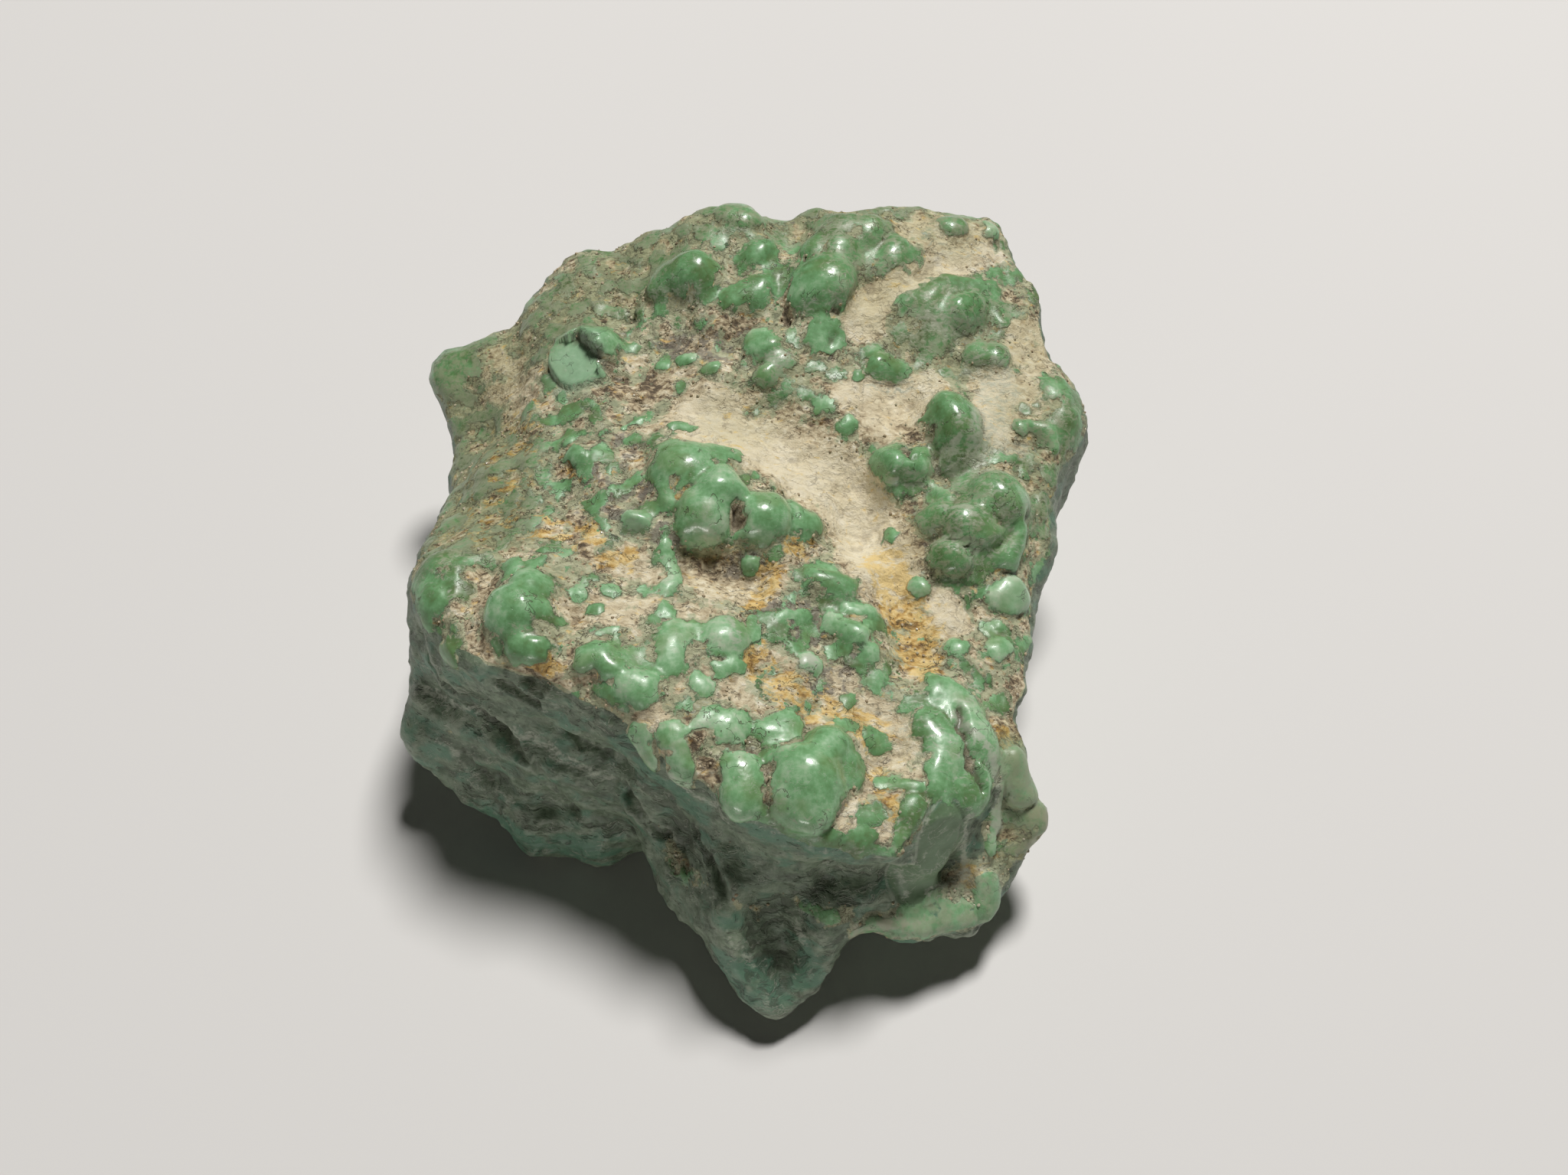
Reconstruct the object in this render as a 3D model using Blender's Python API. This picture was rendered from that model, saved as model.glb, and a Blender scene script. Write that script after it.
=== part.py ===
"""A raw turquoise nugget: one natural stone with a botryoidal upper side.

The stone is described as a hand survey.  SKIN holds points measured on its body, and a
smooth skin is drawn through them, as a radius seen from the heart of the stone.  Swells,
hollows, beads and chipped faces are then raised or cut on that skin.  All lengths are in
millimetres until the mesh is made: X to the right, Y to the back, Z up.
"""

import bmesh
import bpy
import numpy as np

MM = 0.001

# Overall size of the nugget
WIDTH = 46.7
DEPTH = 54.2
HEIGHT = 24.4
FLAT = 0.0001        # the foot that the nugget rests on is flat to within this

# The skin is a radius round this point
HEART = np.array([0.0, 0.5, 7.5])
BEND = 0.05          # roundness of the skin between two surveyed points, in radians

# The mesh starts as a cube gridded with this many faces, rounded to a loaf about as big
ACROSS = 43
UPRIGHT = 9
LOAF = np.array([22.0, 25.5, 8.5])
LOAF_CENTRE = np.array([0.0, 2.0, 1.0])
LOAF_SLOPE = np.array([-0.12, 0.20])     # its top climbs to the left and to the back
SQUARENESS = 4       # 2 rounds the cube to a ball, and more leaves it squarer

# A bead stands on a low foot of clay
FOOT = 0.2
FOOT_REACH = 1.9
STEEPNESS = 0.62     # 0.5 makes a bead half of a ball, and 1 a shallow bowl upside down
WOBBLE = 0.26        # how far a bead's outline strays from round

SHARP = np.radians(50)

LUMP_SPACING = 5.0
LUMP_HEIGHT = 0.15

SKIN = {
    "rim above the front wall": [
        (-20, 0, 17.3), (-20.2, -3.5, 17), (-16, -8.5, 17.8), (-13.5, -8.5, 18.2), (-10.5, -9, 18.2),
        (-7.5, -11, 17.5), (-5.5, -12.2, 17), (-3, -14.3, 16), (-1, -16.4, 14.8), (1.3, -17.4, 14),
        (4.4, -18, 13.2), (7, -18.3, 12.5), (9.4, -18.5, 12)],
    "front wall": [
        (-18, -7, 11), (-19, -8.3, 6), (-13, -9.6, 12), (-13.5, -11, 6), (-8, -11.6, 11),
        (-8.6, -12.4, 5), (-4.3, -14, 11), (-3.4, -15.8, 8), (-0.5, -16.8, 10.5), (-0.6, -19.3, 8.4),
        (5.4, -18.6, 9)],
    "belly at the left foot of the wall": [
        (-22.1, -6.5, 7.5), (-21.9, -7.2, 5), (-20, -8.2, 3.8), (-17.5, -9.4, 2.3), (-14, -11.8, 0.9),
        (-9.5, -12.4, 0.8), (-7, -12.4, 1.8), (-6, -12.8, 3)],
    "spur": [
        (-5.6, -14.8, 3.2), (-4, -18, 3), (-2.5, -19.9, 3), (-0.8, -22, 2.5), (0.5, -23.3, 2),
        (2, -24, 1.9), (4.3, -22.3, 2.2), (5.8, -20.2, 3.2), (-2, -19.9, 7), (2, -19.9, 6.9),
        (1.7, -22.2, 4.6), (5, -20.1, 7.3), (2, -21, 0.9), (-2.5, -16, 1.2)],
    "front lip": [
        (6.8, -19.8, 4), (8.3, -19.7, 4.2), (11, -19.8, 4.2), (13.8, -19.4, 3.6), (15, -18.2, 3.7),
        (16.6, -16.3, 4.5), (13, -17, 6), (10, -18.3, 6.5), (11.5, -17.1, 9), (12.3, -16, 12),
        (8.3, -16, 2.2), (13.5, -16, 2)],
    "lobe at the front right": [
        (18, -13.8, 5.2), (18.9, -12.4, 6.4), (17.8, -12, 9), (17.6, -10.3, 10.5), (15.3, -13.8, 9.5),
        (16.5, -10, 3)],
    "right edge": [
        (17, -8.4, 10.8), (17.7, -6.4, 11.4), (18.3, -3, 11.7), (18.8, 0, 12.4), (19.8, 3.2, 13),
        (21, 8, 13.5), (22.4, 10.5, 13.8), (23.2, 12.4, 15.2), (22.6, 14.3, 17), (21.1, 16.2, 18),
        (20, 19, 19), (20, 21.4, 20), (18.6, 24.8, 20.5)],
    "right side, under the edge": [
        (16.3, -7.5, 8.5), (16.6, -4, 9), (17, -4, 6), (17.5, 2, 6), (19, 10, 7), (19.3, 22, 17),
        (19.6, 18.5, 15.5), (17.5, 26, 17), (18, 18, 9), (15, -2, 1.5), (14, 12, 2)],
    "back rim": [
        (17.8, 28, 21), (15, 27.6, 22), (13, 27.5, 22.5), (9.5, 27.4, 23), (7, 26.4, 23.4),
        (3.5, 27, 22.5), (1, 26.9, 22.6), (-1, 26.8, 22.8), (-4, 27.3, 22.7), (-6.2, 26, 22),
        (-8.5, 25.2, 21), (-12, 26.2, 20), (-14.3, 25.2, 19), (-16, 22.5, 17.5), (-17, 22, 16.5)],
    "back wall": [
        (17.5, 27.6, 17), (10, 28.2, 18), (2, 27.8, 18), (-3, 27.9, 19), (-9, 26.7, 16), (-14, 25.3, 14),
        (16, 26.5, 9), (8, 27, 9), (0, 27, 9), (-8, 25, 8), (-14, 22.5, 7), (10, 22, 2.5), (0, 22, 2.5),
        (-8, 19, 2)],
    "knob at the back left": [
        (-18.5, 22.3, 15.5), (-20.3, 22.2, 15), (-22, 21.9, 14), (-23, 21.2, 13), (-22.8, 20.4, 11),
        (-22, 18.5, 9.6), (-20.5, 19.3, 14), (-20, 22, 11)],
    "left side": [
        (-21.4, 16.3, 10), (-21.2, 13, 10.8), (-20.5, 8, 13.5), (-20.2, 4.5, 15), (-18, 14.6, 14),
        (-18.5, 5, 7), (-19, 0, 6), (-17, 14, 4), (-13, 5, 1)],
    "upper side, left": [
        (-14, 7.7, 18), (-16.5, 3, 17.2), (-13, 0.5, 18.6), (-9.5, 4.2, 18.8), (-7, -4.3, 18.4),
        (-3.3, -8.4, 17.5), (-9.5, 20.6, 20), (-11.4, 16, 19.2), (-6, 13.5, 19.4), (-14.5, 13.9, 17.6)],
    "upper side, middle": [
        (1.2, 9.6, 19), (5.2, 6.7, 17.6), (7.6, 2.8, 16), (6.3, 12.3, 19.2), (-3.4, 4.9, 19.8),
        (-1, 1.5, 19), (-2, -1, 17.6), (1.3, -7.5, 16.4), (5, -6.3, 15.6), (-0.5, -12.3, 16),
        (3.1, -11.8, 15.2), (-4.1, 19, 21.4), (1.1, 19, 21.4), (6.4, 18.7, 21.4), (1.2, 14.9, 20.2)],
    "upper side, back": [
        (11.6, 19.4, 21), (6.4, 22.4, 23.2), (11.8, 23.7, 22.4), (-1, 24, 22.9), (2.2, 24.3, 22.4),
        (17.2, 23.5, 21), (18.5, 18.7, 19.6)],
    "upper side, right": [
        (9.9, -4.3, 14.6), (12.9, -1.2, 14.6), (8.3, -10.3, 14), (13, -9.3, 13.4), (9.4, 14.8, 19.6),
        (15.3, 17.9, 19.6), (13.4, 10.7, 18.6), (14.5, 3.2, 17), (10.2, 6.9, 17.4), (17.1, -6.7, 12.3),
        (16.9, -2.6, 13.2), (17.8, 1.6, 14.4), (18.8, 5.7, 15.8), (20.7, 9.9, 16.5), (20.4, 14, 18.2),
        (14.8, -11.9, 12.2), (11.6, -13.3, 13.4)],
    "worn foot, just under the resting plane": [
        (-9, -6, -0.8), (0, -8, -0.8), (9, -6, -0.8), (-10, 4, -0.8), (0, 4, -0.8), (10, 4, -0.8),
        (-8, 14, -0.8), (2, 15, -0.8), (9, 13, -0.8), (-4, -9.5, 0.3), (4, -12, 0.6)],
}

# Broad relief: name, path of points, radius, height (a hollow's height is negative).
# A point with two numbers is seen from above, and one with three is beside it on the skin.
RELIEF = [
    ("hill under the north dome", [(-4.4, 20.6)], 4.0, 0.6),
    ("hill under the ridge and dark lobes", [(0.8, 22.4), (0.1, 19.4)], 2.8, 0.6),
    ("hill under the eye dome", [(4.9, 19.8)], 3.8, 0.7),
    ("hump at the back left", [(-2, 25)], 4.5, 0.7),
    ("hump at the back", [(6, 22.5), (9, 24)], 4.5, 0.4),
    ("brow hill", [(12.8, 19.4)], 4.8, 0.8),
    ("pocket right of the eye dome", [(8.2, 20.3)], 1.8, -0.6),
    ("saddle behind the brow", [(11.9, 22.4)], 1.9, -0.5),
    ("dip below the dark lobe", [(-1.8, 15.8), (-4.8, 16)], 2.4, -0.5),
    ("hill under the split bead", [(-10.7, 16.2)], 4.0, 0.6),
    ("tall dome hill", [(13.2, 10)], 3.4, 0.9),
    ("dip before the tall dome hill", [(10.3, 11.8)], 2.2, -0.4),
    ("cushion hill", [(10.1, 6.6)], 2.6, 0.5),
    ("cluster hill", [(14, 2.8), (16, 4)], 4.0, 0.8),
    ("right rim, upper lump", [(21.4, 13)], 3.0, 0.5),
    ("right rim, lower lump", [(19.6, 7.6)], 2.6, 0.4),
    ("sand basin", [(0.5, 10.5), (4, 8), (7.2, 3.5)], 4.2, -0.8),
    ("gully behind the mound", [(-6.4, 11)], 2.8, -0.4),
    ("mound hill", [(-3.6, 4.6)], 4.0, 0.8),
    ("hill under the twins", [(-1.2, 2), (3, 2)], 2.8, 0.4),
    ("west dome hill", [(-10.8, 7)], 3.0, 0.4),
    ("step in front of the twins", [(-3.5, -1), (0, -2)], 2.3, -0.8),
    ("dip west of the step", [(-7.2, -2.8)], 3.2, -0.5),
    ("big west hill", [(-13.6, -5.6)], 4.0, 0.8),
    ("left corner hill", [(-19, -2.8)], 3.2, 0.5),
    ("gully behind the left corner", [(-16.2, -2.5), (-16.2, -8)], 1.5, -0.6),
    ("dip east of the big west bead", [(-10.6, -5.6)], 2.2, -0.4),
    ("front rim hill", [(-8.4, -9.2), (-6.2, -10.9)], 2.2, 0.5),
    ("hills under the pair of studs", [(-3.9, -7.4), (-1, -6.8)], 2.4, 0.4),
    ("slate hill", [(5, -1.8)], 2.6, 0.5),
    ("slanted hill", [(6, -4.9)], 2.6, 0.4),
    ("ochre gully", [(9.2, 0.6), (9.6, -2.4), (10, -6.6)], 2.0, -0.5),
    ("dip before the pair of studs", [(1.9, -8.2)], 2.2, -0.4),
    ("great bead hill", [(3.7, -14.2)], 4.2, 0.6),
    ("patch dip", [(8.3, -13.4)], 2.4, -0.4),
    ("ridge hill", [(12.6, -10.6)], 4.0, 0.6),
    ("recess under the front rim", [(5.5, -18.5, 10), (9, -18.5, 9)], 2.0, -0.8),
    ("diagonal ridge on the wall", [(-20.7, -5.7, 9.8), (-15.9, -8.7, 9.4), (-10.9, -11.1, 9.2),
                                    (-6.3, -13.4, 8)], 1.5, 0.5),
    ("gouge above the ridge", [(-16.3, -8.1, 13), (-11.6, -10.1, 12.6), (-7.5, -11.7, 11.2)], 1.5, -0.6),
    ("gouge below the ridge", [(-17.6, -9.5, 6.4), (-12.4, -11, 6), (-7.6, -13, 5.4)], 1.5, -0.5),
    ("hollow in the spur", [(1.5, -19.5, 7), (2, -21, 5.3)], 2.0, -1.1),
    ("cavity in the lip", [(13, -17, 7)], 1.7, -1.3),
]

# Beads: name, path of points, radius, rise
BEADS = [
    ("knob tip", [(-21.6, 20.5, 13.8)], 1.4, 0.9),
    ("knob neck", [(-18.7, 15.8, 13.8)], 0.9, 0.3),
    ("split bead", [(-11, 15.8)], 2.6, 1.4),
    ("north dome", [(-5.3, 21.1), (-3.3, 21)], 1.7, 1.2),
    ("back hump bead", [(-0.8, 26.2)], 1.6, 0.8),
    ("ridge lobe", [(0.3, 22.7), (1.4, 23.4)], 0.9, 0.6),
    ("dark lobe", [(-0.6, 19.3), (0.5, 19.8)], 1.2, 0.6),
    ("eye dome", [(4.8, 19.7)], 2.5, 1.3),
    ("back hill, left", [(4.3, 23)], 1.2, 0.5),
    ("back hill, middle", [(6.4, 22.9)], 1.1, 0.5),
    ("back hill, top", [(8.4, 24.8)], 1.3, 0.7),
    ("back hill, right", [(10.6, 23)], 1.5, 0.7),
    ("far right bead", [(14, 26)], 1.2, 0.8),
    ("ring bead", [(5.3, 16.5)], 1.5, 0.5),
    ("oval bead, upper", [(0.8, 15.9)], 1.3, 0.9),
    ("oval bead, side", [(2.2, 14.5)], 1.2, 0.6),
    ("oval bead, lower", [(1.2, 13.4)], 1.0, 0.8),
    ("brow", [(10.6, 19.5), (13.3, 21), (16.3, 21.4), (17.6, 18.7)], 0.9, 0.4),
    ("brow bead", [(14.7, 19.2), (15.3, 19.5)], 1.2, 1.0),
    ("east bead", [(15.7, 16.2), (16.7, 15.9)], 1.2, 0.9),
    ("lone bead", [(9.1, 14.7), (9.8, 14.7)], 1.15, 0.9),
    ("tall dome", [(13.4, 11)], 1.8, 1.4),
    ("tall dome, front", [(13.5, 9)], 1.6, 1.2),
    ("right rim lump", [(21.6, 11.7)], 1.6, 0.4),
    ("cushion", [(9.5, 7.4)], 1.5, 1.3),
    ("cushion, right", [(11.1, 7.3)], 1.3, 1.4),
    ("east dome", [(16.1, 4.9)], 1.9, 1.4),
    ("cluster, upper left", [(12.2, 3.3)], 1.3, 1.0),
    ("cluster, upper right", [(14, 2.7)], 1.4, 1.1),
    ("cluster, lower", [(12.8, 0.9)], 1.2, 1.0),
    ("cluster, middle", [(15.1, 2.2)], 0.8, 0.7),
    ("cluster, right", [(17, 3.4), (16.9, 1.5)], 0.8, 0.8),
    ("pale bead", [(17, -0.5)], 1.2, 0.9),
    ("slanted bead", [(5.4, -4.7), (6.8, -5.3)], 0.85, 0.55),
    ("south-east pair, inner", [(13.1, -5)], 0.9, 0.5),
    ("south-east pair, outer", [(15.7, -4.6)], 0.95, 0.5),
    ("mound behind the twins", [(-3.9, 5.3)], 2.4, 1.3),
    ("mound, right shoulder", [(-1.9, 6)], 1.6, 1.0),
    ("twin, left", [(-2.7, 1.5)], 1.9, 1.6),
    ("twin, left, crown", [(-1.6, 3.2)], 1.6, 1.5),
    ("twin, right", [(0.9, 1.8)], 1.8, 1.4),
    ("twin, third", [(2.7, 2.6), (3.7, 2.1)], 1.1, 0.8),
    ("wedge", [(-6.8, 1.4)], 0.9, 0.7),
    ("west dome", [(-10.9, 7)], 1.0, 0.5),
    ("big west bead", [(-14, -6.3)], 1.7, 1.0),
    ("big west bead, crown", [(-12.9, -4.3)], 1.5, 0.9),
    ("west crescent", [(-14.3, -2.5)], 0.9, 0.4),
    ("lower west bead", [(-13.3, -8.4), (-12.3, -8.5)], 1.0, 0.8),
    ("left corner lump", [(-17.8, -7.3, 16.4)], 1.2, 0.5),
    ("left corner knob", [(-18.8, -1.4)], 1.2, 0.4),
    ("rim bead, first", [(-9.4, -9.1), (-8.3, -8.7), (-7.8, -9.6)], 0.9, 0.9),
    ("rim bead, second", [(-6.9, -10.6), (-5.9, -10.9)], 1.1, 0.8),
    ("rim bead, third", [(-4.1, -13.2, 16.5)], 1.2, 0.7),
    ("rim bead, fourth", [(-2.1, -12.2)], 1.0, 0.4),
    ("tongue", [(-4.2, -6.5), (-4.3, -9)], 0.8, 0.4),
    ("sparkle bead", [(-1.5, -6.3), (-0.7, -6.7)], 1.1, 0.6),
    ("frosted bead", [(4.1, -7.4)], 1.0, 0.5),
    ("slate bump", [(4.4, -1.9), (5.8, -2)], 1.1, 0.6),
    ("front bead, left", [(-0.4, -12.4)], 1.1, 0.8),
    ("front bead, right", [(1.8, -12.1), (2.5, -11.7)], 0.9, 0.7),
    ("front finger", [(-0.3, -14.8, 15.5), (0, -16, 15)], 1.3, 1.0),
    ("great bead", [(3.7, -15.5, 14.5)], 2.6, 1.9),
    ("great bead, crown", [(4.8, -13.3)], 1.6, 1.2),
    ("great bead, shoulder", [(6.1, -14.4)], 1.4, 0.8),
    ("inner ridge", [(11, -10.9), (12, -12.2), (12.2, -14.6)], 1.4, 1.1),
    ("outer ridge", [(9.7, -8.3), (11.8, -7.8), (13.2, -8.8), (14.2, -11.2)], 1.2, 0.9),
    ("where the ridges join", [(13.5, -14.1, 12.1)], 1.7, 0.8),
    ("green lobe on the right", [(16.5, -11.7, 11.1), (17.1, -12.8, 9.3)], 1.2, 0.9),
    ("far lobe on the right", [(18.1, -13.2, 7.7)], 1.3, 0.4),
    ("blade on the right front", [(12.2, -15.8, 12.2), (10.4, -18.1, 6.6)], 1.3, 0.5),
    ("roll of the lip", [(6.9, -19.6, 5.8), (10.2, -19.3, 5.3), (13.5, -18.5, 4.8)], 1.0, 0.4),
    ("end of the lip", [(15, -16.7, 5.8), (14.9, -17.6, 4.6)], 0.9, 0.5),
]

# Chipped faces: name, point on the skin, way the face looks, height over the skin, reach
CHIPS = [
    ("split face", (-11.6, 15.3), (-0.40, -0.30, 0.86), 0.45, 2.6),
    ("wedge face", (-6.8, 1.0), (-0.15, -0.85, 0.50), 0.25, 1.2),
    ("blade face", (11.3, -17, 9.4), (0.45, -0.80, 0.25), 0.25, 3.6),
]


def kernel(separation):
    return np.sqrt(separation ** 2 + BEND ** 2)


def fit_skin():
    """Weights that make one over the radius a smooth function of direction."""
    points = np.array([point for places in SKIN.values() for point in places], float) - HEART
    radius = np.linalg.norm(points, axis=1)
    ways = points / radius[:, None]
    count = len(ways)
    gaps = np.linalg.norm(ways[:, None] - ways[None], axis=2)
    plane = np.hstack([np.ones((count, 1)), ways])
    system = np.block([[kernel(gaps), plane], [plane.T, np.zeros((4, 4))]])
    weights = np.linalg.solve(system, np.concatenate([1 / radius, np.zeros(4)]))
    return ways, weights


WAYS, WEIGHTS = fit_skin()


def skin(directions):
    """Points and outward normals of the skin, in the given unit directions."""
    gaps = directions[:, None] - WAYS[None]
    reach = kernel(np.linalg.norm(gaps, axis=2))
    bent, level, slope = WEIGHTS[:len(WAYS)], WEIGHTS[len(WAYS)], WEIGHTS[len(WAYS) + 1:]
    closeness = reach @ bent + level + directions @ slope
    climb = np.einsum("ij,ijk->ik", bent / reach, gaps) + slope
    climb -= np.sum(climb * directions, axis=1, keepdims=True) * directions
    normals = directions + climb / closeness[:, None]
    normals /= np.linalg.norm(normals, axis=1, keepdims=True)
    return HEART + directions / closeness[:, None], normals


def unit(vectors):
    return vectors / np.linalg.norm(vectors, axis=-1, keepdims=True)


def beside(point):
    """The place on the skin that a surveyed point is nearest to, seen from the heart."""
    return skin(unit(np.array([point]) - HEART))[0][0]


def from_above(x, y):
    """The place where a plumb line at x, y first meets the skin."""
    heights = np.linspace(HEIGHT + 3, 0, 400)
    line = np.column_stack([np.full(400, x), np.full(400, y), heights])
    surface = skin(unit(line - HEART))[0]
    inside = np.linalg.norm(line - HEART, axis=1) < np.linalg.norm(surface - HEART, axis=1)
    return line[np.argmax(inside)]


def place(point):
    return from_above(*point) if len(point) == 2 else beside(point)


def distance_to_path(points, path):
    """Distance from each point to the nearest part of a path."""
    nearest = np.linalg.norm(points - path[0], axis=1)
    for start, end in zip(path[:-1], path[1:]):
        run = end - start
        share = np.clip((points - start) @ run / (run @ run), 0, 1)
        nearest = np.minimum(nearest, np.linalg.norm(points - start - share[:, None] * run, axis=1))
    return nearest


def ease(low, high, value):
    share = np.clip((value - low) / (high - low), 0, 1)
    return share * share * (3 - 2 * share)


def swell(distance):
    """Broad relief: one at the middle, falling away to nothing at a radius of one."""
    return 1 - ease(0, 1, distance)


def dome(distance):
    """A bead: round on top, steep at its edge, on a low foot that runs out past it."""
    cap = np.maximum(1 - distance ** 2, 0) ** STEEPNESS
    return (1 - FOOT) * cap + FOOT * (1 - ease(0.8, FOOT_REACH, distance))


def ripple(points, spacing, seed, waves=14):
    """A smooth random field of mean zero and spread one, with lumps about spacing apart."""
    chance = np.random.default_rng(seed)
    heading = unit(chance.normal(size=(waves, 3)))
    pitch = 2 * np.pi / spacing * chance.uniform(0.7, 1.4, (waves, 1))
    phase = chance.uniform(0, 2 * np.pi, waves)
    return np.sin(points @ (heading * pitch).T + phase).sum(axis=1) * np.sqrt(2 / waves)


def shape_stone(directions):
    """The surface of the stone in the given directions."""
    points, normals = skin(directions)
    height = LUMP_HEIGHT * ripple(points, LUMP_SPACING, seed=3)
    for _, path, radius, rise in RELIEF:
        reach = distance_to_path(points, [place(point) for point in path]) / radius
        height += rise * swell(reach)
    wavering = points + WOBBLE * np.column_stack([ripple(points, 3.5, seed) for seed in (8, 9, 10)])
    beads = np.zeros(len(points))
    for _, path, radius, rise in BEADS:
        reach = distance_to_path(wavering, [place(point) for point in path]) / radius
        beads = np.maximum(beads, rise * dome(reach))
    points = points + normals * (height + beads)[:, None]
    for _, point, way, lift, radius in CHIPS:
        middle, face = place(point), unit(np.array(way))
        proud = (points - middle) @ face - lift
        cut = np.maximum(proud, 0) * (distance_to_path(points, [middle]) < radius)
        points = points - cut[:, None] * face
    points[:, 2] = np.maximum(points[:, 2], 0)
    return points


def fit_box(points):
    """The stone at its overall size, with the middle of its foot at the origin."""
    low, high = points.min(axis=0), points.max(axis=0)
    size = np.array([WIDTH, DEPTH, HEIGHT])
    return (points - (low + high) / 2) * size / (high - low) + (0, 0, HEIGHT / 2)


def gridded_cube():
    """A closed mesh of a cube, its faces ACROSS wide and its sides UPRIGHT tall."""
    mesh = bmesh.new()
    bmesh.ops.create_cube(mesh, size=2.0)
    upright = [edge for edge in mesh.edges if abs(edge.verts[0].co.z - edge.verts[1].co.z) > 1]
    bmesh.ops.subdivide_edges(mesh, edges=upright, cuts=UPRIGHT - 1, use_grid_fill=True)
    level = [edge for edge in mesh.edges if abs(edge.verts[0].co.z - edge.verts[1].co.z) < 0.01]
    bmesh.ops.subdivide_edges(mesh, edges=level, cuts=ACROSS - 1, use_grid_fill=True)
    return mesh


def grid_directions(corners):
    """Directions from the heart that space a gridded cube's corners evenly over the stone."""
    roundness = (np.abs(corners) ** SQUARENESS).sum(axis=1, keepdims=True) ** (1 / SQUARENESS)
    loaf = corners / roundness * LOAF + LOAF_CENTRE
    loaf[:, 2] += (1 + corners[:, 2]) / 2 * (loaf[:, :2] @ LOAF_SLOPE)
    return unit(loaf)


def turquoise():
    material = bpy.data.materials.new("raw turquoise")
    material.use_nodes = True
    shader = material.node_tree.nodes["Principled BSDF"]
    shader.inputs["Base Color"].default_value = (0.16, 0.33, 0.20, 1)
    shader.inputs["Roughness"].default_value = 0.42
    shader.inputs["Metallic"].default_value = 0.0
    return material


def build():
    for thing in list(bpy.data.objects):
        bpy.data.objects.remove(thing)
    stone = gridded_cube()
    corners = np.array([corner.co for corner in stone.verts])
    points = fit_box(shape_stone(grid_directions(corners))) * MM
    for corner, point in zip(stone.verts, points):
        corner.co = point
    foot = [face for face in stone.faces if max(corner.co.z for corner in face.verts) < FLAT * MM]
    bmesh.ops.dissolve_faces(stone, faces=foot, use_verts=False)
    bmesh.ops.recalc_face_normals(stone, faces=stone.faces[:])
    bmesh.ops.triangulate(stone, faces=stone.faces[:], quad_method="SHORT_EDGE")
    mesh = bpy.data.meshes.new("turquoise_nugget")
    stone.to_mesh(mesh)
    stone.free()
    mesh.materials.append(turquoise())
    mesh.shade_smooth()
    mesh.set_sharp_from_angle(angle=SHARP)
    nugget = bpy.data.objects.new("turquoise_nugget", mesh)
    bpy.context.scene.collection.objects.link(nugget)


if __name__ == "__main__":
    build()
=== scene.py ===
import math

import bmesh
import bpy
import numpy as np
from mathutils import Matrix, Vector


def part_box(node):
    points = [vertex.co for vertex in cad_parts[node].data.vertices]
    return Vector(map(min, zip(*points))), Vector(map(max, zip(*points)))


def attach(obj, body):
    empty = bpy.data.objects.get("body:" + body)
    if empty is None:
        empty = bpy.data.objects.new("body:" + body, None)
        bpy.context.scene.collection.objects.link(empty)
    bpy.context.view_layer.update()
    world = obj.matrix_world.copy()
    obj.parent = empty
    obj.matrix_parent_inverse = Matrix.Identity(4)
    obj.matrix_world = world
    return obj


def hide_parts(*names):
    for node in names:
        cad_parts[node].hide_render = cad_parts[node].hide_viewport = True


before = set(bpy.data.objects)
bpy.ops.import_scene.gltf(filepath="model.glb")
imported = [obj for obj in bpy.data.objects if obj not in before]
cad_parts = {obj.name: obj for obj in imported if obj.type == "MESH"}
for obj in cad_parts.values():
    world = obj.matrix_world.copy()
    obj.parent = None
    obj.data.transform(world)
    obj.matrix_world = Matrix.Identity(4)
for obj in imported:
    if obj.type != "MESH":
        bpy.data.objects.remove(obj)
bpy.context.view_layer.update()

MM = 0.001

# The nugget: one natural stone.  Rounded beads of green turquoise stand in a crust of
# sandy clay on its upper side.  Its front is a broken wall of dull, waxy green rock with
# a low spur, and it lies on a worn flat foot.  These points, in millimetres, lie on its skin.

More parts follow.
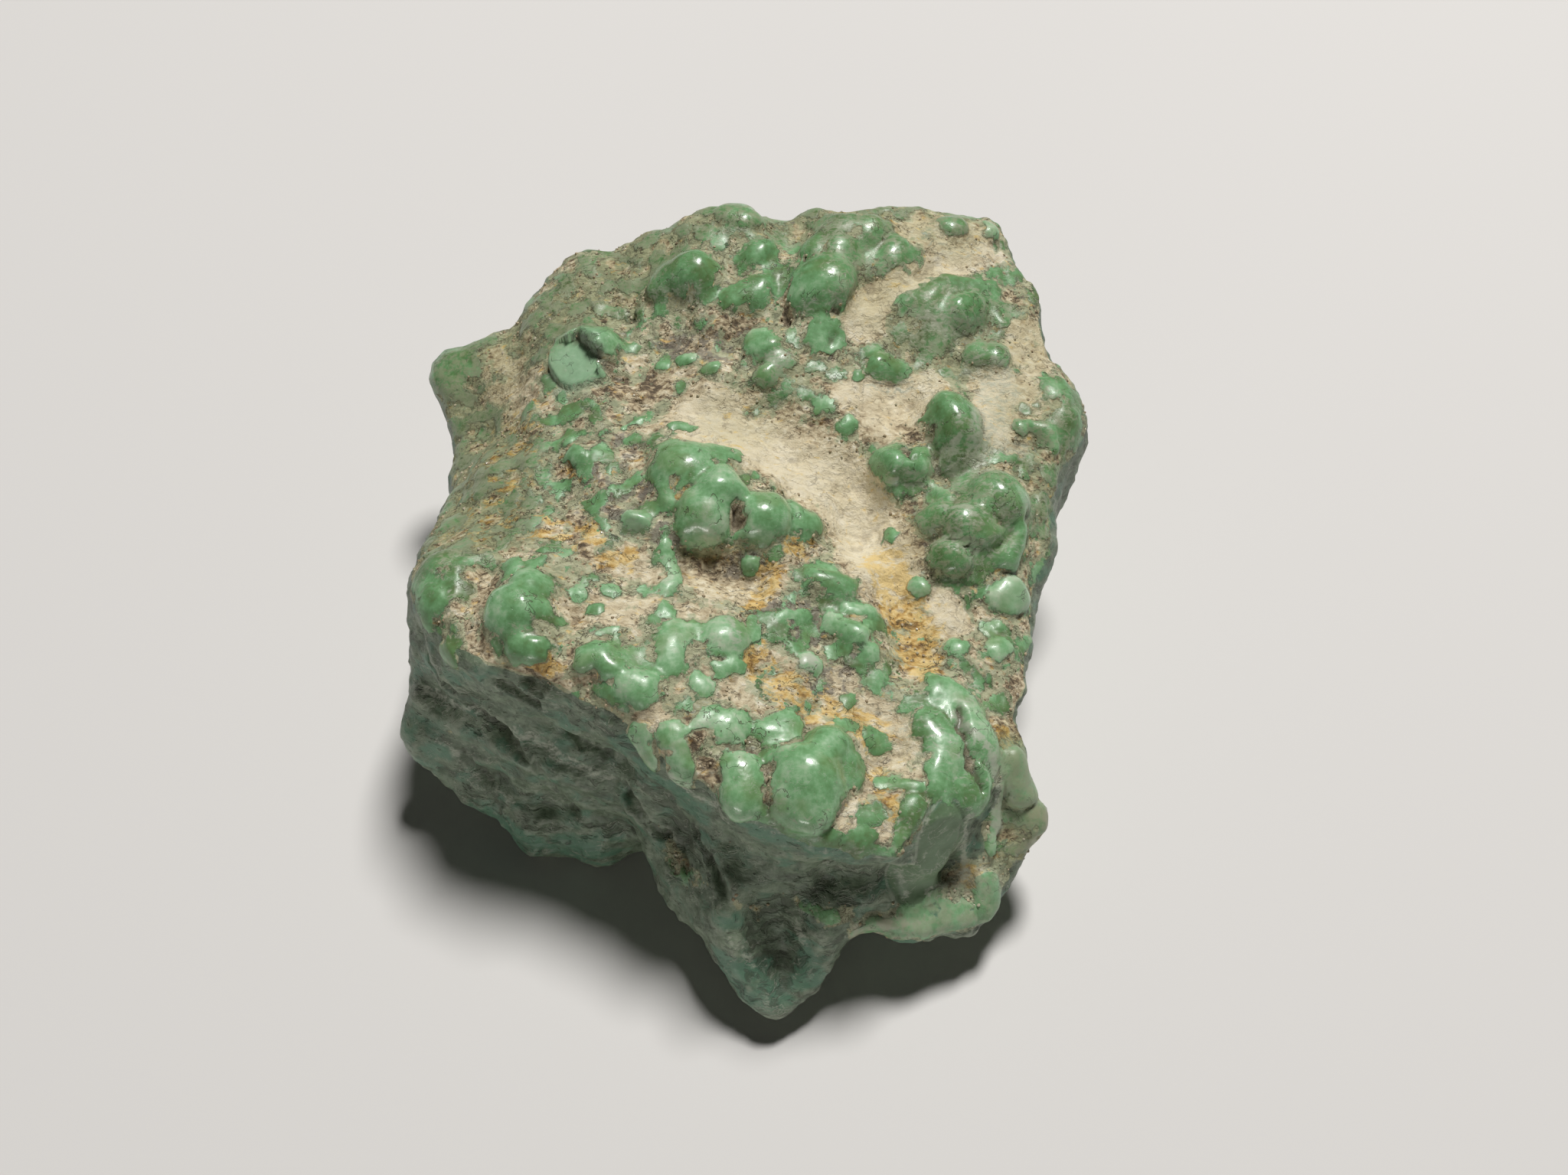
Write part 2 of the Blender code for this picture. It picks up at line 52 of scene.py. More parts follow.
SKIN = {
    "rim above the front wall": [
        (-20, 0, 17.3), (-20.2, -3.5, 17), (-16, -8.5, 17.8), (-13.5, -8.5, 18.2), (-10.5, -9, 18.2),
        (-7.5, -11, 17.5), (-5.5, -12.2, 17), (-3, -14.3, 16), (-1, -16.4, 14.8), (1.3, -17.4, 14),
        (4.4, -18, 13.2), (7, -18.3, 12.5), (9.4, -18.5, 12)],
    "front wall": [
        (-18, -7, 11), (-19, -8.3, 6), (-13, -9.6, 12), (-13.5, -11, 6), (-8, -11.6, 11),
        (-8.6, -12.4, 5), (-4.3, -14, 11), (-3.4, -15.8, 8), (-0.5, -16.8, 10.5), (-0.6, -19.3, 8.4),
        (5.4, -18.6, 9)],
    "belly at the left foot of the wall": [
        (-22.1, -6.5, 7.5), (-21.9, -7.2, 5), (-20, -8.2, 3.8), (-17.5, -9.4, 2.3), (-14, -11.8, 0.9),
        (-9.5, -12.4, 0.8), (-7, -12.4, 1.8), (-6, -12.8, 3)],
    "spur": [
        (-5.6, -14.8, 3.2), (-4, -18, 3), (-2.5, -19.9, 3), (-0.8, -22, 2.5), (0.5, -23.3, 2),
        (2, -24, 1.9), (4.3, -22.3, 2.2), (5.8, -20.2, 3.2), (-2, -19.9, 7), (2, -19.9, 6.9),
        (1.7, -22.2, 4.6), (5, -20.1, 7.3), (2, -21, 0.9), (-2.5, -16, 1.2)],
    "front lip": [
        (6.8, -19.8, 4), (8.3, -19.7, 4.2), (11, -19.8, 4.2), (13.8, -19.4, 3.6), (15, -18.2, 3.7),
        (16.6, -16.3, 4.5), (13, -17, 6), (10, -18.3, 6.5), (11.5, -17.1, 9), (12.3, -16, 12),
        (8.3, -16, 2.2), (13.5, -16, 2)],
    "lobe at the front right": [
        (18, -13.8, 5.2), (18.9, -12.4, 6.4), (17.8, -12, 9), (17.6, -10.3, 10.5), (15.3, -13.8, 9.5),
        (16.5, -10, 3)],
    "right edge": [
        (17, -8.4, 10.8), (17.7, -6.4, 11.4), (18.3, -3, 11.7), (18.8, 0, 12.4), (19.8, 3.2, 13),
        (21, 8, 13.5), (22.4, 10.5, 13.8), (23.2, 12.4, 15.2), (22.6, 14.3, 17), (21.1, 16.2, 18),
        (20, 19, 19), (20, 21.4, 20), (18.6, 24.8, 20.5)],
    "right side, under the edge": [
        (16.3, -7.5, 8.5), (16.6, -4, 9), (17, -4, 6), (17.5, 2, 6), (19, 10, 7), (19.3, 22, 17),
        (19.6, 18.5, 15.5), (17.5, 26, 17), (18, 18, 9), (15, -2, 1.5), (14, 12, 2)],
    "back rim": [
        (17.8, 28, 21), (15, 27.6, 22), (13, 27.5, 22.5), (9.5, 27.4, 23), (7, 26.4, 23.4),
        (3.5, 27, 22.5), (1, 26.9, 22.6), (-1, 26.8, 22.8), (-4, 27.3, 22.7), (-6.2, 26, 22),
        (-8.5, 25.2, 21), (-12, 26.2, 20), (-14.3, 25.2, 19), (-16, 22.5, 17.5), (-17, 22, 16.5)],
    "back wall": [
        (17.5, 27.6, 17), (10, 28.2, 18), (2, 27.8, 18), (-3, 27.9, 19), (-9, 26.7, 16), (-14, 25.3, 14),
        (16, 26.5, 9), (8, 27, 9), (0, 27, 9), (-8, 25, 8), (-14, 22.5, 7), (10, 22, 2.5), (0, 22, 2.5),
        (-8, 19, 2)],
    "knob at the back left": [
        (-18.5, 22.3, 15.5), (-20.3, 22.2, 15), (-22, 21.9, 14), (-23, 21.2, 13), (-22.8, 20.4, 11),
        (-22, 18.5, 9.6), (-20.5, 19.3, 14), (-20, 22, 11)],
    "left side": [
        (-21.4, 16.3, 10), (-21.2, 13, 10.8), (-20.5, 8, 13.5), (-20.2, 4.5, 15), (-18, 14.6, 14),
        (-18.5, 5, 7), (-19, 0, 6), (-17, 14, 4), (-13, 5, 1)],
    "upper side, left": [
        (-14, 7.7, 18), (-16.5, 3, 17.2), (-13, 0.5, 18.6), (-9.5, 4.2, 18.8), (-7, -4.3, 18.4),
        (-3.3, -8.4, 17.5), (-9.5, 20.6, 20), (-11.4, 16, 19.2), (-6, 13.5, 19.4), (-14.5, 13.9, 17.6)],
    "upper side, middle": [
        (1.2, 9.6, 19), (5.2, 6.7, 17.6), (7.6, 2.8, 16), (6.3, 12.3, 19.2), (-3.4, 4.9, 19.8),
        (-1, 1.5, 19), (-2, -1, 17.6), (1.3, -7.5, 16.4), (5, -6.3, 15.6), (-0.5, -12.3, 16),
        (3.1, -11.8, 15.2), (-4.1, 19, 21.4), (1.1, 19, 21.4), (6.4, 18.7, 21.4), (1.2, 14.9, 20.2)],
    "upper side, back": [
        (11.6, 19.4, 21), (6.4, 22.4, 23.2), (11.8, 23.7, 22.4), (-1, 24, 22.9), (2.2, 24.3, 22.4),
        (17.2, 23.5, 21), (18.5, 18.7, 19.6)],
    "upper side, right": [
        (9.9, -4.3, 14.6), (12.9, -1.2, 14.6), (8.3, -10.3, 14), (13, -9.3, 13.4), (9.4, 14.8, 19.6),
        (15.3, 17.9, 19.6), (13.4, 10.7, 18.6), (14.5, 3.2, 17), (10.2, 6.9, 17.4), (17.1, -6.7, 12.3),
        (16.9, -2.6, 13.2), (17.8, 1.6, 14.4), (18.8, 5.7, 15.8), (20.7, 9.9, 16.5), (20.4, 14, 18.2),
        (14.8, -11.9, 12.2), (11.6, -13.3, 13.4)],
    "worn foot, just under the resting plane": [
        (-9, -6, -0.8), (0, -8, -0.8), (9, -6, -0.8), (-10, 4, -0.8), (0, 4, -0.8), (10, 4, -0.8),
        (-8, 14, -0.8), (2, 15, -0.8), (9, 13, -0.8), (-4, -9.5, 0.3), (4, -12, 0.6)],
}

# Broad relief: name, path of points, radius, height (a hollow is negative)
RELIEF = [
    ("hill under the north dome", [(-4.4, 20.6)], 4.0, 0.6),
    ("hill under the ridge and dark lobes", [(0.8, 22.4), (0.1, 19.4)], 2.8, 0.6),
    ("hill under the eye dome", [(4.9, 19.8)], 3.8, 0.7),
    ("hump at the back left", [(-2, 25)], 4.5, 0.7),
    ("hump at the back", [(6, 22.5), (9, 24)], 4.5, 0.4),
    ("brow hill", [(12.8, 19.4)], 4.8, 0.8),
    ("pocket right of the eye dome", [(8.2, 20.3)], 1.8, -0.6),
    ("saddle behind the brow", [(11.9, 22.4)], 1.9, -0.5),
    ("dip below the dark lobe", [(-1.8, 15.8), (-4.8, 16)], 2.4, -0.5),
    ("hill under the split bead", [(-10.7, 16.2)], 4.0, 0.6),
    ("tall dome hill", [(13.2, 10)], 3.4, 0.9),
    ("dip before the tall dome hill", [(10.3, 11.8)], 2.2, -0.4),
    ("cushion hill", [(10.1, 6.6)], 2.6, 0.5),
    ("cluster hill", [(14, 2.8), (16, 4)], 4.0, 0.8),
    ("right rim, upper lump", [(21.4, 13)], 3.0, 0.5),
    ("right rim, lower lump", [(19.6, 7.6)], 2.6, 0.4),
    ("sand basin", [(0.5, 10.5), (4, 8), (7.2, 3.5)], 4.2, -0.8),
    ("gully behind the mound", [(-6.4, 11)], 2.8, -0.4),
    ("mound hill", [(-3.6, 4.6)], 4.0, 0.8),
    ("hill under the twins", [(-1.2, 2), (3, 2)], 2.8, 0.4),
    ("west dome hill", [(-10.8, 7)], 3.0, 0.4),
    ("step in front of the twins", [(-3.5, -1), (0, -2)], 2.3, -0.8),
    ("dip west of the step", [(-7.2, -2.8)], 3.2, -0.5),
    ("big west hill", [(-13.6, -5.6)], 4.0, 0.8),
    ("left corner hill", [(-19, -2.8)], 3.2, 0.5),
    ("gully behind the left corner", [(-16.2, -2.5), (-16.2, -8)], 1.5, -0.6),
    ("dip east of the big west bead", [(-10.6, -5.6)], 2.2, -0.4),
    ("front rim hill", [(-8.4, -9.2), (-6.2, -10.9)], 2.2, 0.5),
    ("hills under the pair of studs", [(-3.9, -7.4), (-1, -6.8)], 2.4, 0.4),
    ("slate hill", [(5, -1.8)], 2.6, 0.5),
    ("slanted hill", [(6, -4.9)], 2.6, 0.4),
    ("ochre gully", [(9.2, 0.6), (9.6, -2.4), (10, -6.6)], 2.0, -0.5),
    ("dip before the pair of studs", [(1.9, -8.2)], 2.2, -0.4),
    ("great bead hill", [(3.7, -14.2)], 4.2, 0.6),
    ("patch dip", [(8.3, -13.4)], 2.4, -0.4),
    ("ridge hill", [(12.6, -10.6)], 4.0, 0.6),
    ("recess under the front rim", [(5.5, -18.5, 10), (9, -18.5, 9)], 2.0, -0.8),
    ("diagonal ridge on the wall", [(-20.7, -5.7, 9.8), (-15.9, -8.7, 9.4), (-10.9, -11.1, 9.2),
                                    (-6.3, -13.4, 8)], 1.5, 0.5),
    ("gouge above the ridge", [(-16.3, -8.1, 13), (-11.6, -10.1, 12.6), (-7.5, -11.7, 11.2)], 1.5, -0.6),
    ("gouge below the ridge", [(-17.6, -9.5, 6.4), (-12.4, -11, 6), (-7.6, -13, 5.4)], 1.5, -0.5),
    ("hollow in the spur", [(1.5, -19.5, 7), (2.2, -21.3, 5.1)], 3.0, -0.9),
    ("cavity in the lip", [(13, -17, 7)], 1.7, -0.8),
]

# Beads: name, path of points, radius, rise, tint (0 dull olive, 1 pale mint), clay smeared on it
BEADS = [
    ("knob tip", [(-21.4, 20.3, 13.8)], 2.0, 0.7, 0.5, 0.2),
    ("knob neck", [(-18.7, 15.8, 13.8)], 0.9, 0.3, 0.4, 0.6),
    ("split bead", [(-11, 15.8)], 2.6, 1.4, 0.62, 0.0),
    ("north dome", [(-5.3, 21.1), (-3.3, 21)], 1.7, 1.2, 0.5, 0.35),
    ("back hump bead", [(-0.8, 26.2)], 1.6, 0.8, 0.6, 0.1),
    ("ridge lobe", [(0.3, 22.7), (1.4, 23.4)], 0.9, 0.6, 0.45, 0.5),
    ("dark lobe", [(-0.6, 19.3), (0.5, 19.8)], 1.2, 0.6, 0.4, 0.5),
    ("eye dome", [(4.2, 19.6), (5.4, 20.2)], 1.8, 0.9, 0.56, 0.3),
    ("back hill, left", [(4.3, 23)], 1.2, 0.5, 0.5, 0.35),
    ("back hill, middle", [(6.4, 22.9)], 1.1, 0.5, 0.5, 0.3),
    ("back hill, top", [(8.4, 24.8)], 1.3, 0.7, 0.62, 0.15),
    ("back hill, right", [(10.6, 23)], 1.5, 0.7, 0.52, 0.4),
    ("far right bead", [(14, 26)], 1.2, 0.8, 0.62, 0.1),
    ("far right stud", [(16.9, 26.8)], 0.8, 0.5, 0.8, 0.3),
    ("ring bead", [(5.3, 16.5)], 1.5, 0.5, 0.62, 0.4),
    ("oval bead, upper", [(0.8, 15.9)], 1.3, 0.9, 0.65, 0.05),
    ("oval bead, side", [(2.2, 14.5)], 1.2, 0.6, 0.72, 0.45),
    ("oval bead, lower", [(1.2, 13.4)], 1.0, 0.8, 0.6, 0.1),
    ("north stud, left", [(-5.7, 14.9)], 0.7, 0.3, 0.5, 0.1),
    ("north stud, middle", [(-4.3, 15.1)], 0.8, 0.5, 0.6, 0.1),
    ("north stud, right", [(-2.4, 14)], 0.6, 0.35, 0.5, 0.2),
    ("stud below the hump", [(-9, 19.7)], 0.6, 0.35, 0.35, 0.3),
    ("grey stud", [(-7.4, 19.6)], 0.7, 0.35, 0.3, 0.3),
    ("brow", [(10.6, 19.5), (13.3, 21), (16.3, 21.4), (17.6, 18.7)], 0.9, 0.4, 0.42, 0.55),
    ("brow bead", [(14.7, 19.2), (15.3, 19.5)], 1.2, 1.0, 0.62, 0.0),
    ("east bead", [(15.7, 16.2), (16.7, 15.9)], 1.2, 0.9, 0.55, 0.2),
    ("lone bead", [(9.1, 14.7), (9.8, 14.7)], 1.15, 0.9, 0.6, 0.0),
    ("lone bead, shoulder", [(8.4, 15.6)], 0.6, 0.3, 0.6, 0.2),
    ("lone bead, foot", [(7.3, 13.9)], 0.5, 0.3, 0.6, 0.2),
    ("tall dome", [(13.5, 10.8), (13.7, 9.6)], 1.8, 1.4, 0.52, 0.05),
    ("tall dome, front", [(13.6, 8.4)], 1.3, 0.9, 0.38, 0.3),
    ("tall dome, side", [(12.1, 10.4)], 0.7, 0.7, 0.45, 0.2),
    ("arch", [(18.1, 10.4), (18.9, 10.9), (19.9, 10.7), (20.2, 9.7)], 0.55, 0.5, 0.6, 0.1),
    ("right rim lump", [(21.6, 11.7)], 1.6, 0.4, 0.48, 0.35),
    ("right rim stud", [(20.6, 14.1)], 1.2, 0.3, 0.5, 0.3),
    ("pinheads", [(6, 10), (6.8, 10.4)], 0.4, 0.35, 0.6, 0.0),
    ("cushion", [(9.5, 7.4)], 1.5, 1.3, 0.5, 0.1),
    ("cushion, right", [(11.1, 7.3)], 1.3, 1.4, 0.6, 0.0),
    ("cushion ridge", [(12, 6.6), (12.7, 5)], 0.6, 0.5, 0.55, 0.3),
    ("east dome", [(16.1, 4.9)], 1.9, 1.4, 0.58, 0.0),
    ("east grey stud", [(19, 5.8)], 0.7, 0.4, 0.25, 0.2),
    ("east crescent", [(16.3, 8), (17.5, 8.4)], 0.4, 0.25, 0.5, 0.2),
    ("east stud", [(18.5, 7.5)], 0.45, 0.25, 0.5, 0.2),
    ("cluster, upper left", [(12.2, 3.3)], 1.3, 1.0, 0.55, 0.15),
    ("cluster, upper right", [(14, 2.7)], 1.4, 1.1, 0.5, 0.15),
    ("cluster, lower", [(12.8, 0.9)], 1.2, 1.0, 0.5, 0.15),
    ("cluster, middle", [(15.1, 2.2)], 0.8, 0.7, 0.45, 0.2),
    ("cluster, right", [(17, 3.4), (16.9, 1.5)], 0.8, 0.8, 0.5, 0.1),
    ("pale bead", [(16.8, -0.6)], 1.5, 0.9, 0.88, 0.0),
    ("dull stud", [(9.1, 2.8)], 0.8, 0.4, 0.5, 0.5),
    ("bright stud", [(11, -0.8)], 0.8, 0.6, 0.75, 0.05),
    ("flat bar", [(6.3, -3.2), (7.9, -3.1)], 0.5, 0.3, 0.7, 0.1),
    ("slanted bead", [(5.4, -4.7), (6.8, -5.3)], 0.85, 0.55, 0.66, 0.05),
    ("green in the ochre", [(7.7, -6.5)], 0.7, 0.3, 0.6, 0.2),
    ("green crumb in the ochre", [(7.5, -4.3)], 0.4, 0.2, 0.6, 0.2),
    ("south-east pair, inner", [(13.1, -5)], 0.9, 0.5, 0.6, 0.25),
    ("south-east pair, outer", [(15.7, -4.6)], 0.95, 0.5, 0.85, 0.1),
    ("south-east stud", [(16, -2.7)], 0.5, 0.25, 0.6, 0.2),
    ("mound behind the twins", [(-3.9, 5.3)], 2.4, 0.8, 0.6, 0.6),
    ("mound, right shoulder", [(-1.9, 6)], 1.6, 0.6, 0.62, 0.6),
    ("mound, flank", [(-5, 4.5), (-5.2, 2.6)], 0.6, 0.4, 0.5, 0.3),
    ("crescent behind the mound", [(-4.8, 8.9), (-3.4, 9.1)], 0.35, 0.25, 0.6, 0.0),
    ("splinter", [(-8.2, 9.5), (-7.1, 10.5)], 0.3, 0.2, 0.6, 0.0),
    ("splinter foot", [(-7.5, 8.5)], 0.4, 0.2, 0.5, 0.1),
    ("twin, left", [(-2.7, 1.5)], 1.9, 1.4, 0.76, 0.0),
    ("twin, left, crown", [(-1.6, 3.2)], 1.6, 1.5, 0.68, 0.0),
    ("twin, right", [(0.9, 1.8)], 1.8, 1.4, 0.68, 0.0),
    ("twin, third", [(2.7, 2.6), (3.7, 2.1)], 1.1, 0.8, 0.55, 0.4),
    ("stud under the twins", [(0.1, -1.1)], 0.8, 0.6, 0.66, 0.1),
    ("crumb under the twins", [(1.2, 0.2)], 0.4, 0.3, 0.5, 0.1),
    ("wedge", [(-6.8, 1.4)], 0.9, 0.7, 0.75, 0.0),
    ("west dome", [(-10.9, 7)], 1.0, 0.5, 0.5, 0.3),
    ("west dome, side", [(-11.6, 8.4)], 0.6, 0.3, 0.5, 0.4),
    ("west patch", [(-11.6, 11.4)], 1.0, 0.3, 0.3, 0.3),
    ("left slope, green", [(-14.9, 12.8)], 0.9, 0.3, 0.5, 0.4),
    ("left slope, olive", [(-16.5, 7.8)], 0.9, 0.25, 0.35, 0.4),
    ("big west bead", [(-14, -6.3)], 1.7, 1.0, 0.64, 0.0),
    ("big west bead, crown", [(-12.9, -4.3)], 1.2, 0.55, 0.6, 0.3),
    ("big west bead, lobe", [(-12.1, -6.1)], 0.65, 0.5, 0.66, 0.0),
    ("west crescent", [(-14.3, -2.5)], 0.9, 0.4, 0.55, 0.25),
    ("west crescent, end", [(-12.4, -1)], 0.6, 0.3, 0.5, 0.3),
    ("first coin", [(-10.2, -4.3)], 0.7, 0.25, 0.66, 0.0),
    ("second coin", [(-8.1, -3.9)], 0.7, 0.25, 0.6, 0.1),
    ("third coin", [(-9.1, -5.5)], 0.5, 0.2, 0.6, 0.1),
    ("fourth coin", [(-8.8, -7.5), (-7.9, -7.4)], 0.4, 0.2, 0.66, 0.1),
    ("lower west bead", [(-13.3, -8.4), (-12.3, -8.5)], 1.0, 0.8, 0.48, 0.2),
    ("left corner lump", [(-17.8, -7.3, 16.4)], 1.2, 0.5, 0.3, 0.3),
    ("left corner knob", [(-18.8, -1.4)], 1.2, 0.4, 0.35, 0.3),
    ("left corner shoulder", [(-19.3, -4.4)], 1.4, 0.4, 0.4, 0.3),
    ("rim bead, first", [(-9.4, -9.1), (-8.3, -8.7), (-7.8, -9.6)], 0.8, 0.6, 0.56, 0.05),
    ("rim bead, second", [(-6.9, -10.6), (-5.9, -10.9)], 0.95, 0.5, 0.68, 0.15),
    ("rim bead, third", [(-4.1, -13.2, 16.5)], 1.2, 0.4, 0.78, 0.3),
    ("rim bead, fourth", [(-2.1, -12.2)], 1.0, 0.4, 0.8, 0.35),
    ("over the rim, first", [(-5.9, -12.2, 16), (-5.2, -13.2, 14.9)], 0.8, 0.2, 0.8, 0.4),
    ("over the rim, second", [(-3.7, -13.9, 16), (-3.2, -14.8, 14.6)], 0.8, 0.2, 0.84, 0.45),
    ("pale stud", [(-2.7, -10.2)], 0.85, 0.4, 0.82, 0.1),
    ("tongue", [(-4.2, -6.5), (-4.3, -9)], 0.95, 0.3, 0.72, 0.05),
    ("tongue, tip", [(-3.3, -6.1)], 0.5, 0.3, 0.7, 0.5),
    ("flat coin", [(-4.7, -5.1)], 0.7, 0.25, 0.68, 0.1),
    ("keel", [(-4.9, -0.4), (-4.5, -3.4)], 0.65, 0.4, 0.76, 0.35),
    ("sparkle bead", [(-1.5, -6.3), (-0.7, -6.7)], 1.2, 0.5, 0.7, 0.1),
    ("sparkle bead, foot", [(-1.4, -8.9), (-0.5, -8.5)], 0.7, 0.4, 0.6, 0.2),
    ("crumbs", [(0.6, -6.3), (0.5, -5.4)], 0.5, 0.22, 0.6, 0.2),
    ("leaf", [(2.2, -5), (3.7, -4.5)], 0.5, 0.25, 0.6, 0.2),
    ("frosted bead", [(4.1, -7.4)], 1.0, 0.5, 0.85, 0.1),
    ("slate bump", [(4.4, -1.9), (5.8, -2)], 1.0, 0.5, 0.52, 0.7),
    ("front bead, left", [(-0.7, -12.6)], 1.4, 0.55, 0.74, 0.05),
    ("front bead, right", [(1.8, -12.1), (2.5, -11.7)], 1.1, 0.55, 0.66, 0.05),
    ("front finger", [(-0.3, -14.8, 15.5), (0, -16, 15)], 1.5, 0.8, 0.62, 0.0),
    ("great bead", [(3.7, -15.5, 14.5)], 2.6, 1.9, 0.68, 0.0),
    ("great bead, crown", [(4.8, -13.3)], 1.6, 1.2, 0.56, 0.05),
    ("great bead, shoulder", [(6.1, -14.4)], 1.4, 0.8, 0.5, 0.1),
    ("patch, low", [(9.9, -16)], 1.0, 0.4, 0.4, 0.2),
    ("patch, left", [(7.1, -16.8)], 0.8, 0.3, 0.4, 0.3),
    ("patch, edge", [(6.9, -18)], 1.0, 0.3, 0.35, 0.3),
    ("streak", [(8.3, -14.5), (10.4, -14.5)], 0.4, 0.25, 0.55, 0.1),
    ("grey patch, front", [(8, -12)], 0.9, 0.3, 0.4, 0.2),
    ("grey patch, middle", [(6.3, -9.8)], 0.8, 0.25, 0.45, 0.2),
    ("grey patch, back", [(8.1, -8)], 0.7, 0.2, 0.55, 0.2),
    ("inner ridge", [(11.2, -10.9), (12, -12.2), (12.1, -14.4)], 1.4, 0.65, 0.56, 0.15),
    ("outer ridge", [(11.6, -7.9), (13.2, -8.8), (14.2, -11.2)], 1.3, 0.5, 0.7, 0.35),
    ("where the ridges join", [(13.5, -14.1, 12.1)], 1.7, 0.8, 0.5, 0.0),
    ("hem", [(14.5, -10.5, 12.7), (15.3, -11.5, 12.1), (15.7, -13, 10.5), (15.4, -14.5, 8.5),
             (15.1, -15.6, 7.4)], 0.35, 0.2, 0.8, 0.2),
    ("green lobe on the right", [(16.5, -11.7, 11.1), (17.1, -12.8, 9.3)], 1.2, 0.9, 0.66, 0.1),
    ("far lobe on the right", [(18.1, -13.2, 7.7)], 1.3, 0.4, 0.4, 0.7),
    ("blade on the right front", [(12.2, -15.8, 12.2), (10.4, -18.1, 6.6)], 1.3, 0.5, 0.42, 0.0),
    ("roll of the lip", [(6.9, -19.6, 5.8), (10.2, -19.3, 5.3), (13.5, -18.5, 4.8)], 1.0, 0.4, 0.5, 0.45),
    ("end of the lip", [(15, -16.7, 5.8), (14.9, -17.6, 4.6)], 0.9, 0.5, 0.5, 0.2),
]

HEART = np.array([0.0, 0.5, 7.5])        # the skin is a radius round this point
BEND = 0.05                              # roundness of the skin between surveyed points
STONE_HEIGHT = 24.4
HEADROOM, PLUMB_STEPS = 3, 250          # a plumb line starts this far over the top of the stone
CHUNK = 20000                            # corners worked out at a time
FAR = 9.0                                # beyond the reach of any bead


def unit(vectors):
    return vectors / np.linalg.norm(vectors, axis=-1, keepdims=True)


def ease(low, high, value):
    share = np.clip((value - low) / (high - low), 0, 1)
    return share * share * (3 - 2 * share)


def kernel(separation):
    return np.sqrt(separation ** 2 + BEND ** 2)


def fit_skin():
    """Weights that make one over the radius a smooth function of direction."""
    points = np.array([point for places in SKIN.values() for point in places], float) - HEART
    radius = np.linalg.norm(points, axis=1)
    ways = points / radius[:, None]
    gaps = np.linalg.norm(ways[:, None] - ways[None], axis=2)
    plane = np.hstack([np.ones((len(ways), 1)), ways])
    system = np.block([[kernel(gaps), plane], [plane.T, np.zeros((4, 4))]])
    weights = np.linalg.solve(system, np.concatenate([1 / radius, np.zeros(4)]))
    return ways, weights


WAYS, WEIGHTS = fit_skin()


def skin(directions):
    """Points and outward normals of the skin, in the given unit directions."""
    gaps = directions[:, None] - WAYS[None]
    reach = kernel(np.linalg.norm(gaps, axis=2))
    bent, level, slope = WEIGHTS[:len(WAYS)], WEIGHTS[len(WAYS)], WEIGHTS[len(WAYS) + 1:]
    closeness = reach @ bent + level + directions @ slope
    climb = np.einsum("ij,ijk->ik", bent / reach, gaps) + slope
    climb -= np.sum(climb * directions, axis=1, keepdims=True) * directions
    return HEART + directions / closeness[:, None], unit(directions + climb / closeness[:, None])


def place(point):
    """A surveyed point on the skin: under a plumb line at x, y, or beside x, y, z."""
    if len(point) == 3:
        return skin(unit(np.array([point]) - HEART))[0][0]
    heights = np.linspace(STONE_HEIGHT + HEADROOM, 0, PLUMB_STEPS)
    line = np.column_stack([np.full(PLUMB_STEPS, point[0]), np.full(PLUMB_STEPS, point[1]), heights])
    surface = skin(unit(line - HEART))[0]
    inside = np.linalg.norm(line - HEART, axis=1) < np.linalg.norm(surface - HEART, axis=1)
    return line[np.argmax(inside)]


def distance_to(points, path):
    """Distance from each point to the nearest part of a path of surveyed points."""
    path = [place(point) for point in path]
    nearest = np.linalg.norm(points - path[0], axis=1)
    for start, end in zip(path[:-1], path[1:]):
        run = end - start
        share = np.clip((points - start) @ run / (run @ run), 0, 1)
        nearest = np.minimum(nearest, np.linalg.norm(points - start - share[:, None] * run, axis=1))
    return nearest


def ripple(points, spacing, seed, waves=14):
    """A smooth random field of mean zero and spread one, with lumps about spacing apart."""
    chance = np.random.default_rng(seed)
    heading = unit(chance.normal(size=(waves, 3)))
    pitch = 2 * np.pi / spacing * chance.uniform(0.7, 1.4, (waves, 1))
    phase = chance.uniform(0, 2 * np.pi, waves)
    return np.sin(points @ (heading * pitch).T + phase).sum(axis=1) * np.sqrt(2 / waves)


# The mesh is a cube gridded with this many faces and rounded to a loaf as big as the stone
ACROSS = 194
UPRIGHT = 43
LOAF = np.array([22.0, 25.5, 8.5])
LOAF_CENTRE = np.array([0.0, 2.0, 1.0])
LOAF_SLOPE = np.array([-0.12, 0.20])
SQUARENESS = 4


def gridded_cube():
    mesh = bmesh.new()
    bmesh.ops.create_cube(mesh, size=2.0)
    upright = [edge for edge in mesh.edges if abs(edge.verts[0].co.z - edge.verts[1].co.z) > 1]
    bmesh.ops.subdivide_edges(mesh, edges=upright, cuts=UPRIGHT - 1, use_grid_fill=True)
    level = [edge for edge in mesh.edges if abs(edge.verts[0].co.z - edge.verts[1].co.z) < 0.01]
    bmesh.ops.subdivide_edges(mesh, edges=level, cuts=ACROSS - 1, use_grid_fill=True)
    return mesh


def grid_directions(corners):
    roundness = (np.abs(corners) ** SQUARENESS).sum(axis=1, keepdims=True) ** (1 / SQUARENESS)
    loaf = corners / roundness * LOAF + LOAF_CENTRE
    loaf[:, 2] += (1 + corners[:, 2]) / 2 * (loaf[:, :2] @ LOAF_SLOPE)
    return unit(loaf)


FOOT, FOOT_REACH = 0.2, 1.9              # a bead's low foot of clay: its share, and how far it runs
STEEPNESS = 0.62                         # 0.5 makes a bead half of a ball
WOBBLE = 0.15                            # how far a bead's outline strays from round


def dome(reach):
    """A bead's height at a distance of reach radii from its middle."""
    cap = np.maximum(1 - reach ** 2, 0) ** STEEPNESS
    return (1 - FOOT) * cap + FOOT * (1 - ease(0.8, FOOT_REACH, reach))


